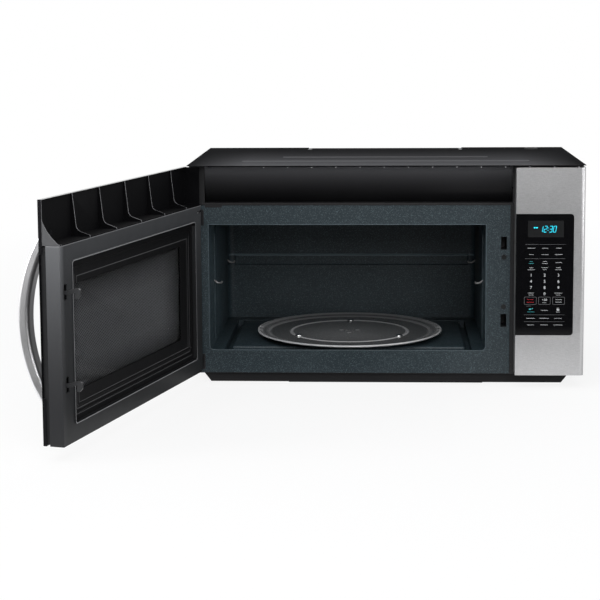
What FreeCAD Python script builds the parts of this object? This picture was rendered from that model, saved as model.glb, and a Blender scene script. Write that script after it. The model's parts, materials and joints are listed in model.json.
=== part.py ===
import FreeCAD, Part
import os
import re
import Sketcher
from FreeCAD import Placement, Rotation, Vector

# Over-the-range microwave with its hood blower, door standing open, in millimetres.
# +X is the viewer's right, +Y points into the wall, +Z is up.
# The origin is the middle of the underside of the base.

SIZES = {
    # Case
    "case_width": 759.0,
    "case_height": 433.0,
    "case_depth": 412.0,
    "front_zone": 40.0,
    "sheet": 0.8,
    "cover_sheet": 1.2,
    "cover_setback": 2.0,
    "panel_low": 28.0,
    "panel_drop": 5.0,
    "fit_gap": 0.3,
    "run_gap": 0.05,
    # Top cover
    "notch_width": 330.0,
    "notch_depth": 60.0,
    "bolt_spacing": 236.0,
    "bolt_setback": 92.0,
    "bolt_hole_radius": 3.5,
    "emboss_rise": 1.0,
    "emboss_width": 22.0,
    "emboss_front": 82.0,
    "emboss_pitch": 96.0,
    "emboss_margin": 99.5,
    "emboss_shrink": 150.0,
    "vent_rib_inset": 147.5,
    "vent_rib_pitch": 46.0,
    "vent_rib_width": 1.6,
    "vent_rib_depth": 9.0,
    "gland_inset": 69.5,
    "gland_setback": 55.0,
    "gland_radius": 11.0,
    "gland_flange": 3.0,
    "gland_length": 14.0,
    # Base
    "base_rise": 23.0,
    "tray_inset": 19.5,
    "tray_taper": 17.0,
    "tray_front": 20.0,
    "tray_back": 6.0,
    "centre_gap": 10.0,
    "centre_sheet": 1.2,
    "filter_width": 130.0,
    "filter_margin": 81.0,
    "filter_thick": 8.0,
    "filter_lip": 5.0,
    "filter_inset": 78.0,
    "filter_middle": 10.0,
    "light_width": 90.0,
    "light_depth": 44.0,
    "light_inset": 80.0,
    "light_setback": 60.0,
    "lamp_radius": 9.0,
    "lamp_length": 60.0,
    "screw_head_radius": 4.0,
    "screw_head_height": 1.2,
    "small_head_radius": 3.2,
    "latch_head_radius": 5.0,
    "latch_head_gap": 14.5,
    "base_screw_inset": 18.0,
    # Front plate and cavity
    "plate_inset": 3.5,
    "bezel_width": 7.9,
    "plate_drop": 80.6,
    "cavity_inset": 37.2,
    "cavity_gap": 53.9,
    "cavity_low": 67.7,
    "mouth_drop": 37.3,
    "cavity_behind": 13.0,
    "cavity_floor": 62.0,
    "mouth_radius": 9.0,
    "shell_round": 14.0,
    "emboss_start": 97.0,
    "emboss_stop": 24.0,
    "emboss_foot": 12.0,
    "emboss_head": 6.0,
    "emboss_corner": 26.0,
    "recess_floor": 47.0,
    "recess_side": 24.0,
    "recess_front": 20.0,
    "recess_back": 36.0,
    "groove_width": 11.0,
    "platform_drop": 1.5,
    "platform_margin": 5.0,
    "platform_round": 5.0,
    "well_radius": 117.0,
    "band_drop": 137.1,
    "band_height": 24.0,
    "band_rise": 2.0,
    "band_depth": 4.0,
    "band_round": 3.0,
    "latch_inset": 19.9,
    "slot_width": 11.0,
    "slot_height": 25.0,
    "slot_drop": 49.1,
    "latch_pitch": 151.0,
    "rack_setback": 86.0,
    "rack_behind": 28.0,
    "rack_reach": 18.0,
    "rack_bend": 13.0,
    "rack_lift": 6.0,
    "rack_tip": 4.0,
    "rack_wire": 3.0,
    # Hood vent
    "sill_height": 4.6,
    "sill_depth": 22.0,
    "sill_proud": 1.0,
    "sill_lip": 4.0,
    "deflector_inset": 30.5,
    "deflector_gap": 4.0,
    "deflector_drop": 1.0,
    "deflector_radius": 127.0,
    "deflector_wall": 2.5,
    "deflector_depth": 42.0,
    "post_thick": 2.0,
    "sill_step": 33.0,
    "charcoal_gap": 8.0,
    "charcoal_width": 300.0,
    "charcoal_depth": 100.0,
    "charcoal_thick": 20.0,
    # Control panel
    "panel_width": 131.0,
    "panel_wall": 2.5,
    "panel_front": 4.0,
    "panel_round": 8.0,
    "glass_inset": 21.5,
    "glass_low": 106.0,
    "glass_drop": 93.0,
    "glass_thick": 3.0,
    "glass_round": 6.0,
    "key_margin": 8.0,
    "membrane_thick": 1.0,
    "display_inset": 22.5,
    "display_width": 67.5,
    "display_drop": 44.6,
    "display_height": 31.5,
    "board_setback": 15.0,
    "board_thick": 1.6,
    "board_margin": 2.0,
    "standoff_radius": 3.0,
    "bezel_proud": 2.0,
    "screw_inset": 12.0,
    # Hinge
    "hinge_inset": 12.0,
    "hinge_setback": 14.0,
    "hinge_low": 30.0,
    "hinge_drop": 8.4,
    "arm_reach": 8.0,
    "arm_thick": 3.0,
    "arm_gap": 0.5,
    "arm_sweep": 17.0,
    "pin_length": 20.0,
    "pin_radius": 4.0,
    "foot_height": 30.0,
    "foot_width": 24.0,
    "bracket_sheet": 2.0,
    "bush_radius": 7.0,
    # Microwave source and power supply
    "guide_behind": 166.0,
    "guide_depth": 100.0,
    "guide_drop": 135.1,
    "guide_height": 90.0,
    "guide_width": 40.0,
    "mica_thick": 0.8,
    "mica_lap": 4.0,
    "magnetron_width": 80.0,
    "magnetron_depth": 90.0,
    "magnetron_height": 84.0,
    "yoke_wall": 2.0,
    "fin_thick": 1.0,
    "anode_radius": 20.0,
    "antenna_radius": 8.0,
    "supply_inset": 167.5,
    "supply_setback": 146.0,
    "core_width": 86.0,
    "core_depth": 80.0,
    "core_height": 70.0,
    "core_limb": 16.0,
    "winding_proud": 8.0,
    "capacitor_inset": 45.0,
    "capacitor_advance": 26.0,
    "capacitor_radius": 25.0,
    "capacitor_height": 90.0,
    "terminal_radius": 3.0,
    "terminal_height": 12.0,
    "noise_post": 8.0,
    "noise_setback": 120.0,
    "noise_width": 90.0,
    "noise_drop": 103.0,
    "noise_height": 70.0,
    "noise_choke_radius": 14.0,
    # Lamps, cutouts and latches
    "lamp_setback": 150.0,
    "lamp_drop": 35.1,
    "lamp_hole_radius": 1.5,
    "lamp_rise": 6.75,
    "cutout_pitch": 30.0,
    "cutout_advance": 20.0,
    "cutout_radius": 8.0,
    "cutout_height": 8.0,
    "latch_width": 22.0,
    "latch_depth": 50.0,
    "latch_wall": 5.0,
    "switch_depth": 16.0,
    # Cooling fan and vent blower
    "fan_inset": 79.5,
    "fan_drop": 93.0,
    "fan_radius": 46.0,
    "fan_gap": 2.0,
    "fan_width": 18.0,
    "fan_hub_radius": 10.0,
    "fan_motor_width": 40.0,
    "fan_motor_depth": 24.0,
    "fan_shaft_length": 22.0,
    "fan_shaft_radius": 2.5,
    "blade_thick": 2.0,
    "shroud_gap": 30.0,
    "shroud_thick": 2.0,
    "shroud_margin": 14.0,
    "blower_width": 300.0,
    "blower_setback": 181.0,
    "blower_depth": 108.0,
    "blower_drop": 6.0,
    "blower_wall": 2.0,
    "blower_motor_length": 70.0,
    "blower_motor_radius": 36.0,
    "inlet_radius": 34.0,
    "outlet_height": 40.0,
    "wheel_gap": 6.0,
    "cage_radius": 44.0,
    "cage_depth": 8.0,
    "rotor_shaft_radius": 4.0,
    "damper_margin": 6.0,
    "damper_wall": 2.0,
    "flap_pin_radius": 2.0,
    "flap_thick": 1.6,
    "flap_gap": 3.0,
    # Turntable
    "tray_advance": 6.0,
    "shaft_hole_radius": 9.0,
    "turn_motor_radius": 25.0,
    "turn_motor_height": 14.0,
    "turn_shaft_radius": 3.0,
    "coupler_low": 48.0,
    "shaft_length": 10.0,
    "coupler_radius": 10.0,
    "lobe_reach": 22.0,
    "lobe_width": 8.0,
    "tray_margin": 9.5,
    "rim_width": 26.0,
    "tray_thick": 5.0,
    "rim_rise": 8.0,
    "rim_lip": 5.0,
    "ridge_radius": 120.5,
    "ridge_width": 2.5,
    "ridge_rise": 1.4,
    "ring_radius": 80.0,
    "ring_wall": 8.0,
    "ring_height": 7.0,
    "roller_track": 90.0,
    "roller_width": 7.0,
    "roller_radius": 8.2,
    "stub_radius": 2.5,
    "stub_spare": 2.0,
    # Door
    "door_open_angle": 105.0,
    "door_edge": 9.0,
    "door_gap": 2.5,
    "door_clear": 3.0,
    "skin_return": 6.0,
    "door_glass_left": 45.0,
    "channel_lap": 3.0,
    "cover_wall": 2.0,
    "cover_skirt": 14.0,
    "window_left": 92.0,
    "window_inset": 55.5,
    "window_low": 108.0,
    "window_drop": 30.1,
    "choke_margin": 6.0,
    "choke_depth": 14.0,
    "screen_thick": 0.8,
    "screen_lap": 10.0,
    "inner_glass_thick": 2.2,
    "bead_left": 27.0,
    "bead_inset": 41.5,
    "bead_low": 56.0,
    "bead_lap": 11.9,
    "bead_width": 3.0,
    "bead_rise": 1.6,
    "bead_round": 7.0,
    "step_inset": 14.0,
    "step_width": 3.0,
    "step_rise": 2.0,
    "step_pitch": 12.0,
    "edge_bevel": 6.0,
    "post_edge": 2.0,
    "boss_reach": 10.0,
    "post_inner": 4.0,
    "louvre_wall": 2.0,
    "cap_centre": 62.5,
    "rib_first": 69.0,
    "rib_margin": 78.5,
    "rib_thick": 2.0,
    "rib_foot": 10.0,
    "rib_toe": 2.0,
    "rib_root": 10.0,
    "rib_tip": 3.0,
    "rib_curve": 12.0,
    "handle_inset": 38.5,
    "handle_end": 57.0,
    "handle_stand": 45.0,
    "handle_width": 25.0,
    "handle_depth": 20.0,
    "handle_round": 6.0,
    "screw_radius": 2.4,
    "screw_length": 14.0,
    "screw_head": 2.4,
    "screw_head_wide": 5.0,
    "hook_width": 6.0,
    "hook_reach": 27.0,
    "hook_height": 6.5,
    "hook_drop": 5.5,
    "hook_lift": 5.0,
    "hook_root": 3.0,
    "slot_spare": 2.5,
    "barb_length": 9.0,
    "key_margin_top": 9.0,
    "key_gap": 1.2,
    "latch_travel": 4.0,
    "spring_radius": 3.6,
    "spring_length": 12.0,
}

# How many of each repeated feature
LAMP_HOLE_ROWS = 3
LAMP_HOLE_COLUMNS = 6
FIN_COUNT = 6
BLADE_COUNT = 5
VANE_COUNT = 16
ROLLER_COUNT = 3
LOUVRE_RIBS = 5

# Sizes that follow from the ones above
FOLLOWING = {
    "panel_high": "case_height - panel_drop",
    "panel_left": "case_width / 2 - panel_width",
    "plate_left": "case_width / 2 - plate_inset",
    "plate_right": "panel_left - bezel_width",
    "plate_high": "case_height - plate_drop",
    "sill_high": "plate_high + sill_height",
    "cavity_left": "case_width / 2 - cavity_inset",
    "cavity_right": "panel_left - cavity_gap",
    "cavity_high": "plate_high - mouth_drop",
    "cavity_depth": "case_depth - cavity_behind",
    "band_low": "cavity_high - band_drop",
    "band_high": "band_low + band_height",
    "rack_height": "band_low + band_height / 2",
    "latch_column": "panel_left - latch_inset",
    "upper_slot": "cavity_high - slot_drop",
    "vent_rib_first": "vent_rib_inset - case_width / 2",
    "emboss_length": "case_width - 2 * emboss_margin",
    "gland_offset": "case_width / 2 - gland_inset",
    "tray_top_width": "case_width - 2 * tray_inset",
    "tray_low_width": "tray_top_width - 2 * tray_taper",
    "filter_length": "case_depth - 2 * filter_margin",
    "filter_offset": "tray_low_width / 2 - filter_inset",
    "centre_width": "2 * filter_offset - filter_width - 2 * centre_gap",
    "light_offset": "centre_width / 2 - light_inset",
    "base_screw_offset": "tray_low_width / 2 - base_screw_inset",
    "deflector_left": "case_width / 2 - deflector_inset",
    "deflector_right": "panel_left - deflector_gap",
    "deflector_high": "panel_high - deflector_drop",
    "glass_right": "case_width / 2 - glass_inset",
    "glass_high": "case_height - glass_drop",
    "display_left": "panel_left + display_inset",
    "display_low": "glass_high - display_drop",
    "hinge_high": "plate_high - hinge_drop",
    "guide_setback": "case_depth - guide_behind",
    "guide_low": "cavity_high - guide_drop",
    "supply_left": "case_width / 2 - supply_inset",
    "supply_front": "case_depth / 2 - supply_setback",
    "capacitor_setback": "case_depth / 2 - capacitor_advance",
    "noise_low": "case_height - noise_drop",
    "lamp_low": "cavity_high - lamp_drop",
    "cutout_setback": "case_depth / 2 - cutout_advance",
    "fan_x": "case_width / 2 - fan_inset",
    "fan_z": "case_height - fan_drop",
    "blower_front": "case_depth / 2 - blower_setback",
    "blower_top": "case_height - blower_drop",
    "outlet_low": "blower_top - blower_wall - outlet_height",
    "tray_setback": "case_depth / 2 - tray_advance",
    "platform_setback": "tray_setback - well_radius - platform_margin",
    "tray_radius": "cavity_depth / 2 - tray_margin",
    "tray_flat": "tray_radius - rim_width",
    "channel_low": "sill_high - channel_lap",
    "door_reach": "panel_left - door_gap + case_width / 2 - hinge_inset",
    "window_right": "door_reach - window_inset",
    "window_high": "cavity_high - window_drop",
    "bead_right": "door_reach - bead_inset",
    "bead_high": "cavity_high + bead_lap",
    "rib_pitch": f"(door_reach - rib_margin) / {LOUVRE_RIBS}",
    "handle_u": "door_reach - handle_inset",
    "handle_span": "panel_high - panel_low - 2 * handle_end",
}

doc = FreeCAD.newDocument("over_range_microwave")
sheet = doc.addObject("Spreadsheet::Sheet", "sizes")
kept_parts = {}

cells = {alias: str(number) for alias, number in SIZES.items()}
cells.update({alias: f"={formula}" for alias, formula in FOLLOWING.items()})
for row, (alias, content) in enumerate(cells.items(), start=1):
    sheet.set(f"A{row}", alias)
    sheet.set(f"B{row}", content)
    sheet.setAlias(f"B{row}", alias)
doc.recompute()

WORD = re.compile(r"[a-z_]+")
AXIS_TURN = {"x": Rotation(Vector(0, 1, 0), 90), "y": Rotation(Vector(1, 0, 0), -90), "z": Rotation()}

# Planes and centres that several pieces share
LEFT = "(-case_width / 2)"
RIGHT = "(case_width / 2)"
FRONT = "(-case_depth / 2)"
BACK = "(case_depth / 2)"
FACE = f"({FRONT} - front_zone)"
COVER_LOW = "(case_height - cover_sheet)"
BASE_TOP = "base_rise"
CAVITY_MID = "((cavity_right - cavity_left) / 2)"
CAVITY_BACK = f"({FRONT} + sheet + cavity_depth)"


def tied(text):
    """Write an expression's size names as references to the sheet's cells."""
    return WORD.sub(lambda word: f"sizes.{word[0]}" if word[0] in cells else word[0], text)


def measure(text):
    """The number that an expression of sizes comes to."""
    return float(meter.evalExpression(tied(text)))


def seat(solid, x, y, z):
    """Bind a solid's position to expressions of the sizes."""
    for axis, text in zip("xyz", (x, y, z)):
        solid.setExpression(f"Placement.Base.{axis}", tied(text))


def block(x, y, z):
    """A box between a low and a high expression on each axis."""
    solid = doc.addObject("Part::Box", "block")
    for side, (low, high) in zip(("Length", "Width", "Height"), (x, y, z)):
        solid.setExpression(side, tied(f"({high}) - ({low})"))
    seat(solid, x[0], y[0], z[0])
    return solid


def rod(axis, across, along, radius):
    """A cylinder along one axis; across gives its other two coordinates in x, y, z order."""
    solid = doc.addObject("Part::Cylinder", "rod")
    solid.Placement = Placement(Vector(), AXIS_TURN[axis])
    solid.setExpression("Radius", tied(radius))
    solid.setExpression("Height", tied(f"({along[1]}) - ({along[0]})"))
    place = list(across)
    place.insert("xyz".index(axis), along[0])
    seat(solid, *place)
    return solid


def join(*solids):
    """Fuse solids into one."""
    fused = doc.addObject("Part::MultiFuse", "join")
    fused.Shapes = list(solids)
    fused.Refine = True
    return fused


def cut(solid, *tools):
    """Take tools away from a solid."""
    result = doc.addObject("Part::Cut", "cut")
    result.Base = solid
    result.Tool = tools[0] if len(tools) == 1 else join(*tools)
    result.Refine = True
    return result


def overlap(solid, other):
    """What two solids share."""
    result = doc.addObject("Part::Common", "overlap")
    result.Base = solid
    result.Tool = other
    return result


def group(*solids):
    """Separate solids that share one node."""
    gathered = doc.addObject("Part::Compound", "group")
    gathered.Links = list(solids)
    return gathered


def tube(axis, across, along, radius, bore):
    """A cylinder with a hole right through it."""
    return cut(rod(axis, across, along, radius), rod(axis, across, along, bore))


def rounded(solid, radius, pick):
    """Round the edges that pick accepts, given each edge's middle point and direction."""
    doc.recompute()
    size = measure(radius)
    chosen = []
    for number, edge in enumerate(solid.Shape.Edges, start=1):
        middle = edge.valueAt((edge.FirstParameter + edge.LastParameter) / 2)
        if pick(middle, edge.tangentAt(edge.FirstParameter)):
            chosen.append((number, size, size))
    result = doc.addObject("Part::Fillet", "rounded")
    result.Base = solid
    result.Edges = chosen
    return result


def new_body(name):
    """A body to be made from sketches."""
    return doc.addObject("PartDesign::Body", name)


def draw(body, role, offset, *outlines):
    """A sketch of closed outlines, each a list of corner points, on a plane of the body's origin."""
    sketch = body.newObject("Sketcher::SketchObject", "outline")
    plane = next(item for item in body.Origin.OriginFeatures if item.Role == role)
    sketch.AttachmentSupport = [(plane, "")]
    sketch.MapMode = "FlatFace"
    sketch.setExpression("AttachmentOffset.Base.z", tied(offset))
    for outline in outlines:
        corners = [Vector(measure(x), measure(y), 0) for x, y in outline]
        first = sketch.GeometryCount
        for start, end in zip(corners, corners[1:] + corners[:1]):
            sketch.addGeometry(Part.LineSegment(start, end))
        for index, (x, y) in enumerate(outline):
            line = first + index
            following = first + (index + 1) % len(outline)
            sketch.addConstraint(Sketcher.Constraint("Coincident", line, 2, following, 1))
            for kind, text, number in (("DistanceX", x, corners[index].x),
                                       ("DistanceY", y, corners[index].y)):
                mark = sketch.addConstraint(Sketcher.Constraint(kind, -1, 1, line, 1, number))
                sketch.setExpression(f"Constraints[{mark}]", tied(text))
    return sketch


def pad(body, sketch, length):
    """Raise a sketch along its plane's normal."""
    feature = body.newObject("PartDesign::Pad", "pad")
    feature.Profile = sketch
    feature.setExpression("Length", tied(length))
    body.Tip = feature
    return feature


def revolve(body, sketch):
    """Turn a sketch once round its own vertical axis."""
    feature = body.newObject("PartDesign::Revolution", "turned")
    feature.Profile = sketch
    feature.ReferenceAxis = (sketch, ["V_Axis"])
    feature.Angle = 360
    body.Tip = feature
    return feature


def soften(body, radius, pick):
    """Round a body's edges that pick accepts."""
    doc.recompute()
    base = body.Tip
    names = []
    for number, edge in enumerate(base.Shape.Edges, start=1):
        middle = edge.valueAt((edge.FirstParameter + edge.LastParameter) / 2)
        if pick(middle, edge.tangentAt(edge.FirstParameter)):
            names.append(f"Edge{number}")
    feature = body.newObject("PartDesign::Fillet", "softened")
    feature.Base = (base, names)
    feature.setExpression("Radius", tied(radius))
    body.Tip = feature
    return feature


def near(number, text):
    """True where a coordinate lies on the place that an expression gives."""
    return abs(number - measure(text)) < 0.01


def keep(label, solid):
    """Name a finished sub-part."""
    solid.Label = label
    kept_parts[label] = solid
    return solid


meter = doc.addObject("App::FeaturePython", "meter")

# Top cover: a sheet with a duct notch, two cabinet bolt holes, two embossed bars and ribs over the vent slot

cover_front = f"({FACE} + cover_setback)"
bolt_row = f"({FACE} + bolt_setback)"
gland_x = "gland_offset"
gland_y = f"({BACK} - gland_setback)"
cover_sheet_blank = block((LEFT, RIGHT), (cover_front, BACK), (COVER_LOW, "case_height"))
cover_bars = []
for bar in range(2):
    half = f"((emboss_length - {bar} * emboss_shrink) / 2)"
    bar_front = f"({FACE} + emboss_front + {bar} * emboss_pitch)"
    bar_span = (bar_front, f"{bar_front} + emboss_width")
    cover_bars.append(block((f"-{half}", half), bar_span, ("case_height", "case_height + emboss_rise")))
cover_ribs = []
rib_low = "(panel_high + fit_gap)"
rib_count = int((measure(RIGHT) - measure("vent_rib_first")) // measure("vent_rib_pitch")) + 1
for rib in range(rib_count):
    rib_x = f"(vent_rib_first + {rib} * vent_rib_pitch)"
    rib_span = (f"{rib_x} - vent_rib_width / 2", f"{rib_x} + vent_rib_width / 2")
    cover_ribs.append(block(rib_span, (cover_front, f"{cover_front} + vent_rib_depth"),
                            (rib_low, COVER_LOW)))
cover_holes = [
    block(("-notch_width / 2", "notch_width / 2"), (f"{BACK} - notch_depth", f"{BACK} + sheet"),
          (f"{COVER_LOW} - sheet", "case_height + sheet")),
    rod("z", (gland_x, gland_y), (f"{COVER_LOW} - sheet", "case_height + sheet"), "gland_radius"),
]
for side in ("-", ""):
    bolt_x = f"{side}bolt_spacing / 2"
    cover_holes.append(rod("z", (bolt_x, bolt_row), (f"{COVER_LOW} - sheet", "case_height + sheet"),
                           "bolt_hole_radius"))
keep("top_cover", cut(join(cover_sheet_blank, *cover_bars, *cover_ribs), *cover_holes))

# Cord gland: a bush in the top cover with a flange above and below the sheet

gland_axis = (gland_x, gland_y)
gland_bore = "gland_radius - gland_flange"
gland_top = "(case_height + gland_flange)"
gland_blank = join(
    rod("z", gland_axis, (f"{gland_top} - gland_length", gland_top), "gland_radius"),
    rod("z", gland_axis, ("case_height", gland_top), "gland_radius + gland_flange"),
)
keep("cord_gland", cut(gland_blank, rod("z", gland_axis, (f"{gland_top} - gland_length", gland_top),
                                        gland_bore)))

# Case panels: two sides and the back, standing on the edge of the base plate

panel_span = (f"{BASE_TOP} - sheet", COVER_LOW)
side_depth = (FRONT, f"{BACK} - sheet")
keep("side_panel_left", block((LEFT, f"{LEFT} + sheet"), side_depth, panel_span))
keep("side_panel_right", block((f"{RIGHT} - sheet", RIGHT), side_depth, panel_span))
keep("rear_panel", block((LEFT, RIGHT), (f"{BACK} - sheet", BACK), panel_span))

# Base pan: a flat plate with a tapered tray below it, open over the two grease filters and the lights

tray_low = "centre_sheet"
tray_front = f"({FRONT} + tray_front)"
tray_back = f"({BACK} - tray_back)"
tray_length = "(case_depth - tray_front - tray_back)"


def tray_prism(inset, low):
    """The tapered tray's outline, drawn in by a wall, run from front to back."""
    shape = new_body("tray_outline")
    top = f"(tray_top_width / 2 - {inset})"
    bottom = f"(tray_low_width / 2 - {inset})"
    corners = [(f"-{bottom}", low), (bottom, low), (top, BASE_TOP), (f"-{top}", BASE_TOP)]
    sketch = draw(shape, "XZ_Plane", f"-({tray_back} - {inset})", corners)
    pad(shape, sketch, f"{tray_length} - 2 * {inset}")
    return shape


def light_window(side, low, high, inset):
    """The space of one cooktop light, between two heights."""
    middle = f"({side} * light_offset)"
    front = f"({tray_front} + light_setback)"
    return block((f"{middle} - light_width / 2 + {inset}", f"{middle} + light_width / 2 - {inset}"),
                 (f"{front} + {inset}", f"{front} + light_depth - {inset}"), (low, high))


def filter_space(side, low, high, lip):
    """The space of one grease filter, between two heights, widened by a lip."""
    middle = f"({side} * filter_offset)"
    return block((f"{middle} - filter_width / 2 - {lip}", f"{middle} + filter_width / 2 + {lip}"),
                 (f"filter_middle - filter_length / 2 - {lip}",
                  f"filter_middle + filter_length / 2 + {lip}"),
                 (low, high))


base_plate = block((f"{LEFT} + sheet", f"{RIGHT} - sheet"), (FRONT, f"{BACK} - sheet"),
                   (f"{BASE_TOP} - sheet", BASE_TOP))
tray_wall = cut(tray_prism("0", tray_low), tray_prism("sheet", f"{tray_low} + sheet"))
tray_holes = []
for side in (-1, 1):
    tray_holes.append(light_window(side, "0", f"{tray_low} + 2 * sheet", "0"))
    tray_holes.append(filter_space(side, "0", f"{tray_low} + 2 * sheet", "0"))
keep("base_pan", join(base_plate, cut(tray_wall, *tray_holes)))

# Base centre plate, light lenses and grease filters

centre_blank = block(("-centre_width / 2", "centre_width / 2"), (tray_front, tray_back),
                     ("0", "centre_sheet"))
centre_holes = [light_window(side, "-sheet", "2 * centre_sheet", "0") for side in (-1, 1)]
keep("base_centre_plate", cut(centre_blank, *centre_holes))

tray_floor = f"({tray_low} + sheet)"
lenses = [light_window(side, "fit_gap", tray_floor, "fit_gap / 2") for side in (-1, 1)]
keep("surface_light_lenses", group(*lenses))

filters = []
for side in (-1, 1):
    screen = filter_space(side, tray_floor, f"{tray_floor} + filter_thick", "filter_lip")
    hollow = filter_space(side, f"{tray_floor} + sheet", f"{tray_floor} + filter_thick", "0")
    filters.append(cut(screen, hollow))
keep("grease_filters", group(*filters))

# Front plate: enamelled sheet with the oven mouth, rounded below, and two latch slots


def rectangle(low_x, high_x, low_y, high_y):
    """The four corners of a rectangle for a sketch."""
    return [(low_x, low_y), (high_x, low_y), (high_x, high_y), (low_x, high_y)]


def slot_low(index):
    """The lower edge of latch slot 0, the upper one, or 1, the lower one."""
    return f"(upper_slot - {index} * latch_pitch)"


mouth = rectangle("-cavity_left", "cavity_right", "cavity_low", "cavity_high")
latch_slots = []
for index in range(2):
    latch_slots.append(rectangle("latch_column - slot_width / 2", "latch_column + slot_width / 2",
                                 slot_low(index), f"{slot_low(index)} + slot_height"))
front_plate = new_body("front_plate_body")
plate_sketch = draw(front_plate, "XZ_Plane", f"-({FRONT} + sheet)",
                    rectangle("-plate_left", "plate_right", BASE_TOP, "plate_high"), mouth, *latch_slots)
pad(front_plate, plate_sketch, "sheet")
soften(front_plate, "mouth_radius", lambda middle, way: abs(way.y) > 0.9 and near(middle.z, "cavity_low"))
keep("front_plate", front_plate)

# Cavity shell: a drawn box with a sunk floor, a pressed platform on it, embossed back and sides,
# and the holes that serve it

shell_front = f"({FRONT} + sheet)"
shell_left = "(-cavity_left - sheet)"
shell_right = "(cavity_right + sheet)"
recess_x = ("-cavity_left + recess_side", "cavity_right - recess_side")
recess_y = (f"{shell_front} + recess_front", f"{CAVITY_BACK} - recess_back")
shell_outer = rounded(
    block((shell_left, shell_right), (shell_front, f"{CAVITY_BACK} + sheet"),
          ("cavity_floor - sheet", "cavity_high + sheet")),
    "shell_round + sheet", lambda middle, way: abs(way.z) > 0.9 and near(middle.y, f"{CAVITY_BACK} + sheet"))
shell_room = rounded(
    block(("-cavity_left", "cavity_right"), (shell_front, CAVITY_BACK), ("cavity_floor", "cavity_high")),
    "shell_round", lambda middle, way: abs(way.z) > 0.9 and near(middle.y, CAVITY_BACK))
shell_outside = join(
    shell_outer,
    block((f"{recess_x[0]} - sheet", f"{recess_x[1]} + sheet"),
          (f"{recess_y[0]} - sheet", f"{recess_y[1]} + sheet"),
          ("recess_floor - sheet", "cavity_floor")),
)
shaft_axis = (CAVITY_MID, f"({FRONT} + tray_setback)")
guide_y = (f"({FRONT} + guide_setback)", f"({FRONT} + guide_setback + guide_depth)")
guide_z = ("guide_low", "guide_low + guide_height")
lamp_window_y = (f"({FRONT} + lamp_setback)", f"({FRONT} + lamp_setback + lamp_length)")
shell_inside = [
    shell_room,
    block(recess_x, recess_y, ("recess_floor", "cavity_floor + sheet")),
    block(("cavity_right - sheet", "cavity_right + 2 * sheet"), guide_y, guide_z),
]
lamp_hole_span = ("cavity_right - band_rise - sheet", "cavity_right + sheet")
lamp_holes = []
for row in range(LAMP_HOLE_ROWS):
    for column in range(LAMP_HOLE_COLUMNS):
        lamp_y = f"{lamp_window_y[0]} + ({column} + 0.5) * lamp_length / {LAMP_HOLE_COLUMNS}"
        lamp_z = f"lamp_low + ({row} + 0.5) * lamp_radius / 2"
        lamp_holes.append(rod("x", (lamp_y, lamp_z), lamp_hole_span, "lamp_hole_radius"))
band_front = f"({CAVITY_BACK} - band_depth)"
back_band = rounded(block(("-cavity_left + shell_round", "cavity_right - shell_round"),
                          (band_front, f"{CAVITY_BACK} + sheet"), ("band_low", "band_high")),
                    "band_round", lambda middle, way: near(middle.y, band_front))
emboss_y = (f"({FRONT} + emboss_start)", f"({FRONT} + guide_setback - emboss_stop)")
emboss_z = ("(cavity_floor + emboss_foot)", "(cavity_high - emboss_head)")


def wall_emboss(start, rise, inset):
    """A side wall's embossed panel, its upper front corner cut off, drawn in by an inset."""
    front, back = (f"{emboss_y[0]} + {inset}", f"{emboss_y[1]} - {inset}")
    foot, head = (f"{emboss_z[0]} + {inset}", f"{emboss_z[1]} - {inset}")
    outline = [(front, foot), (back, foot), (back, head), (f"{front} + emboss_corner", head),
               (front, f"{head} - emboss_corner")]
    shape = new_body("wall_emboss")
    pad(shape, draw(shape, "YZ_Plane", start, outline), rise)
    return shape


wall_panels = [wall_emboss("-cavity_left - sheet", "band_rise + sheet", "0"),
               wall_emboss("cavity_right - band_rise", "band_rise + sheet", "0")]
wall_pockets = [wall_emboss("-cavity_left - sheet", "band_rise", "sheet"),
                wall_emboss("cavity_right - band_rise + sheet", "band_rise", "sheet")]


def platform_block(inset, low, high):
    """The floor's raised platform, its free edges rounded, drawn in by an inset."""
    front = f"({FRONT} + platform_setback + {inset})"
    blank = block((f"{recess_x[0]} + groove_width + {inset}", f"{recess_x[1]} - groove_width - {inset}"),
                  (front, recess_y[1]), (low, high))
    return rounded(blank, f"platform_round - {inset}",
                   lambda middle, way: near(middle.z, high) and not near(middle.y, recess_y[1])
                   or abs(way.z) > 0.9 and near(middle.y, front))


platform_top = "(cavity_floor - platform_drop)"
well_wall = rod("z", shaft_axis, ("recess_floor - 2 * sheet", platform_top), "well_radius + sheet")
platform_hollow = cut(platform_block("sheet", "recess_floor - sheet", f"{platform_top} - sheet"), well_wall)
well = rod("z", shaft_axis, ("recess_floor - sheet", f"{platform_top} + sheet"), "well_radius")
platform = cut(platform_block("0", "recess_floor", platform_top), platform_hollow, well)
shaft_hole = rod("z", shaft_axis, ("recess_floor - 2 * sheet", "recess_floor + sheet"),
                 "shaft_hole_radius")
shell_drawn = join(cut(shell_outside, *shell_inside), back_band, *wall_panels)
keep("cavity_shell", group(cut(shell_drawn, *wall_pockets, *lamp_holes, shaft_hole), platform))

# Rack supports: bent wire hooks on the side walls, one near the mouth and one near each back corner

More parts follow.
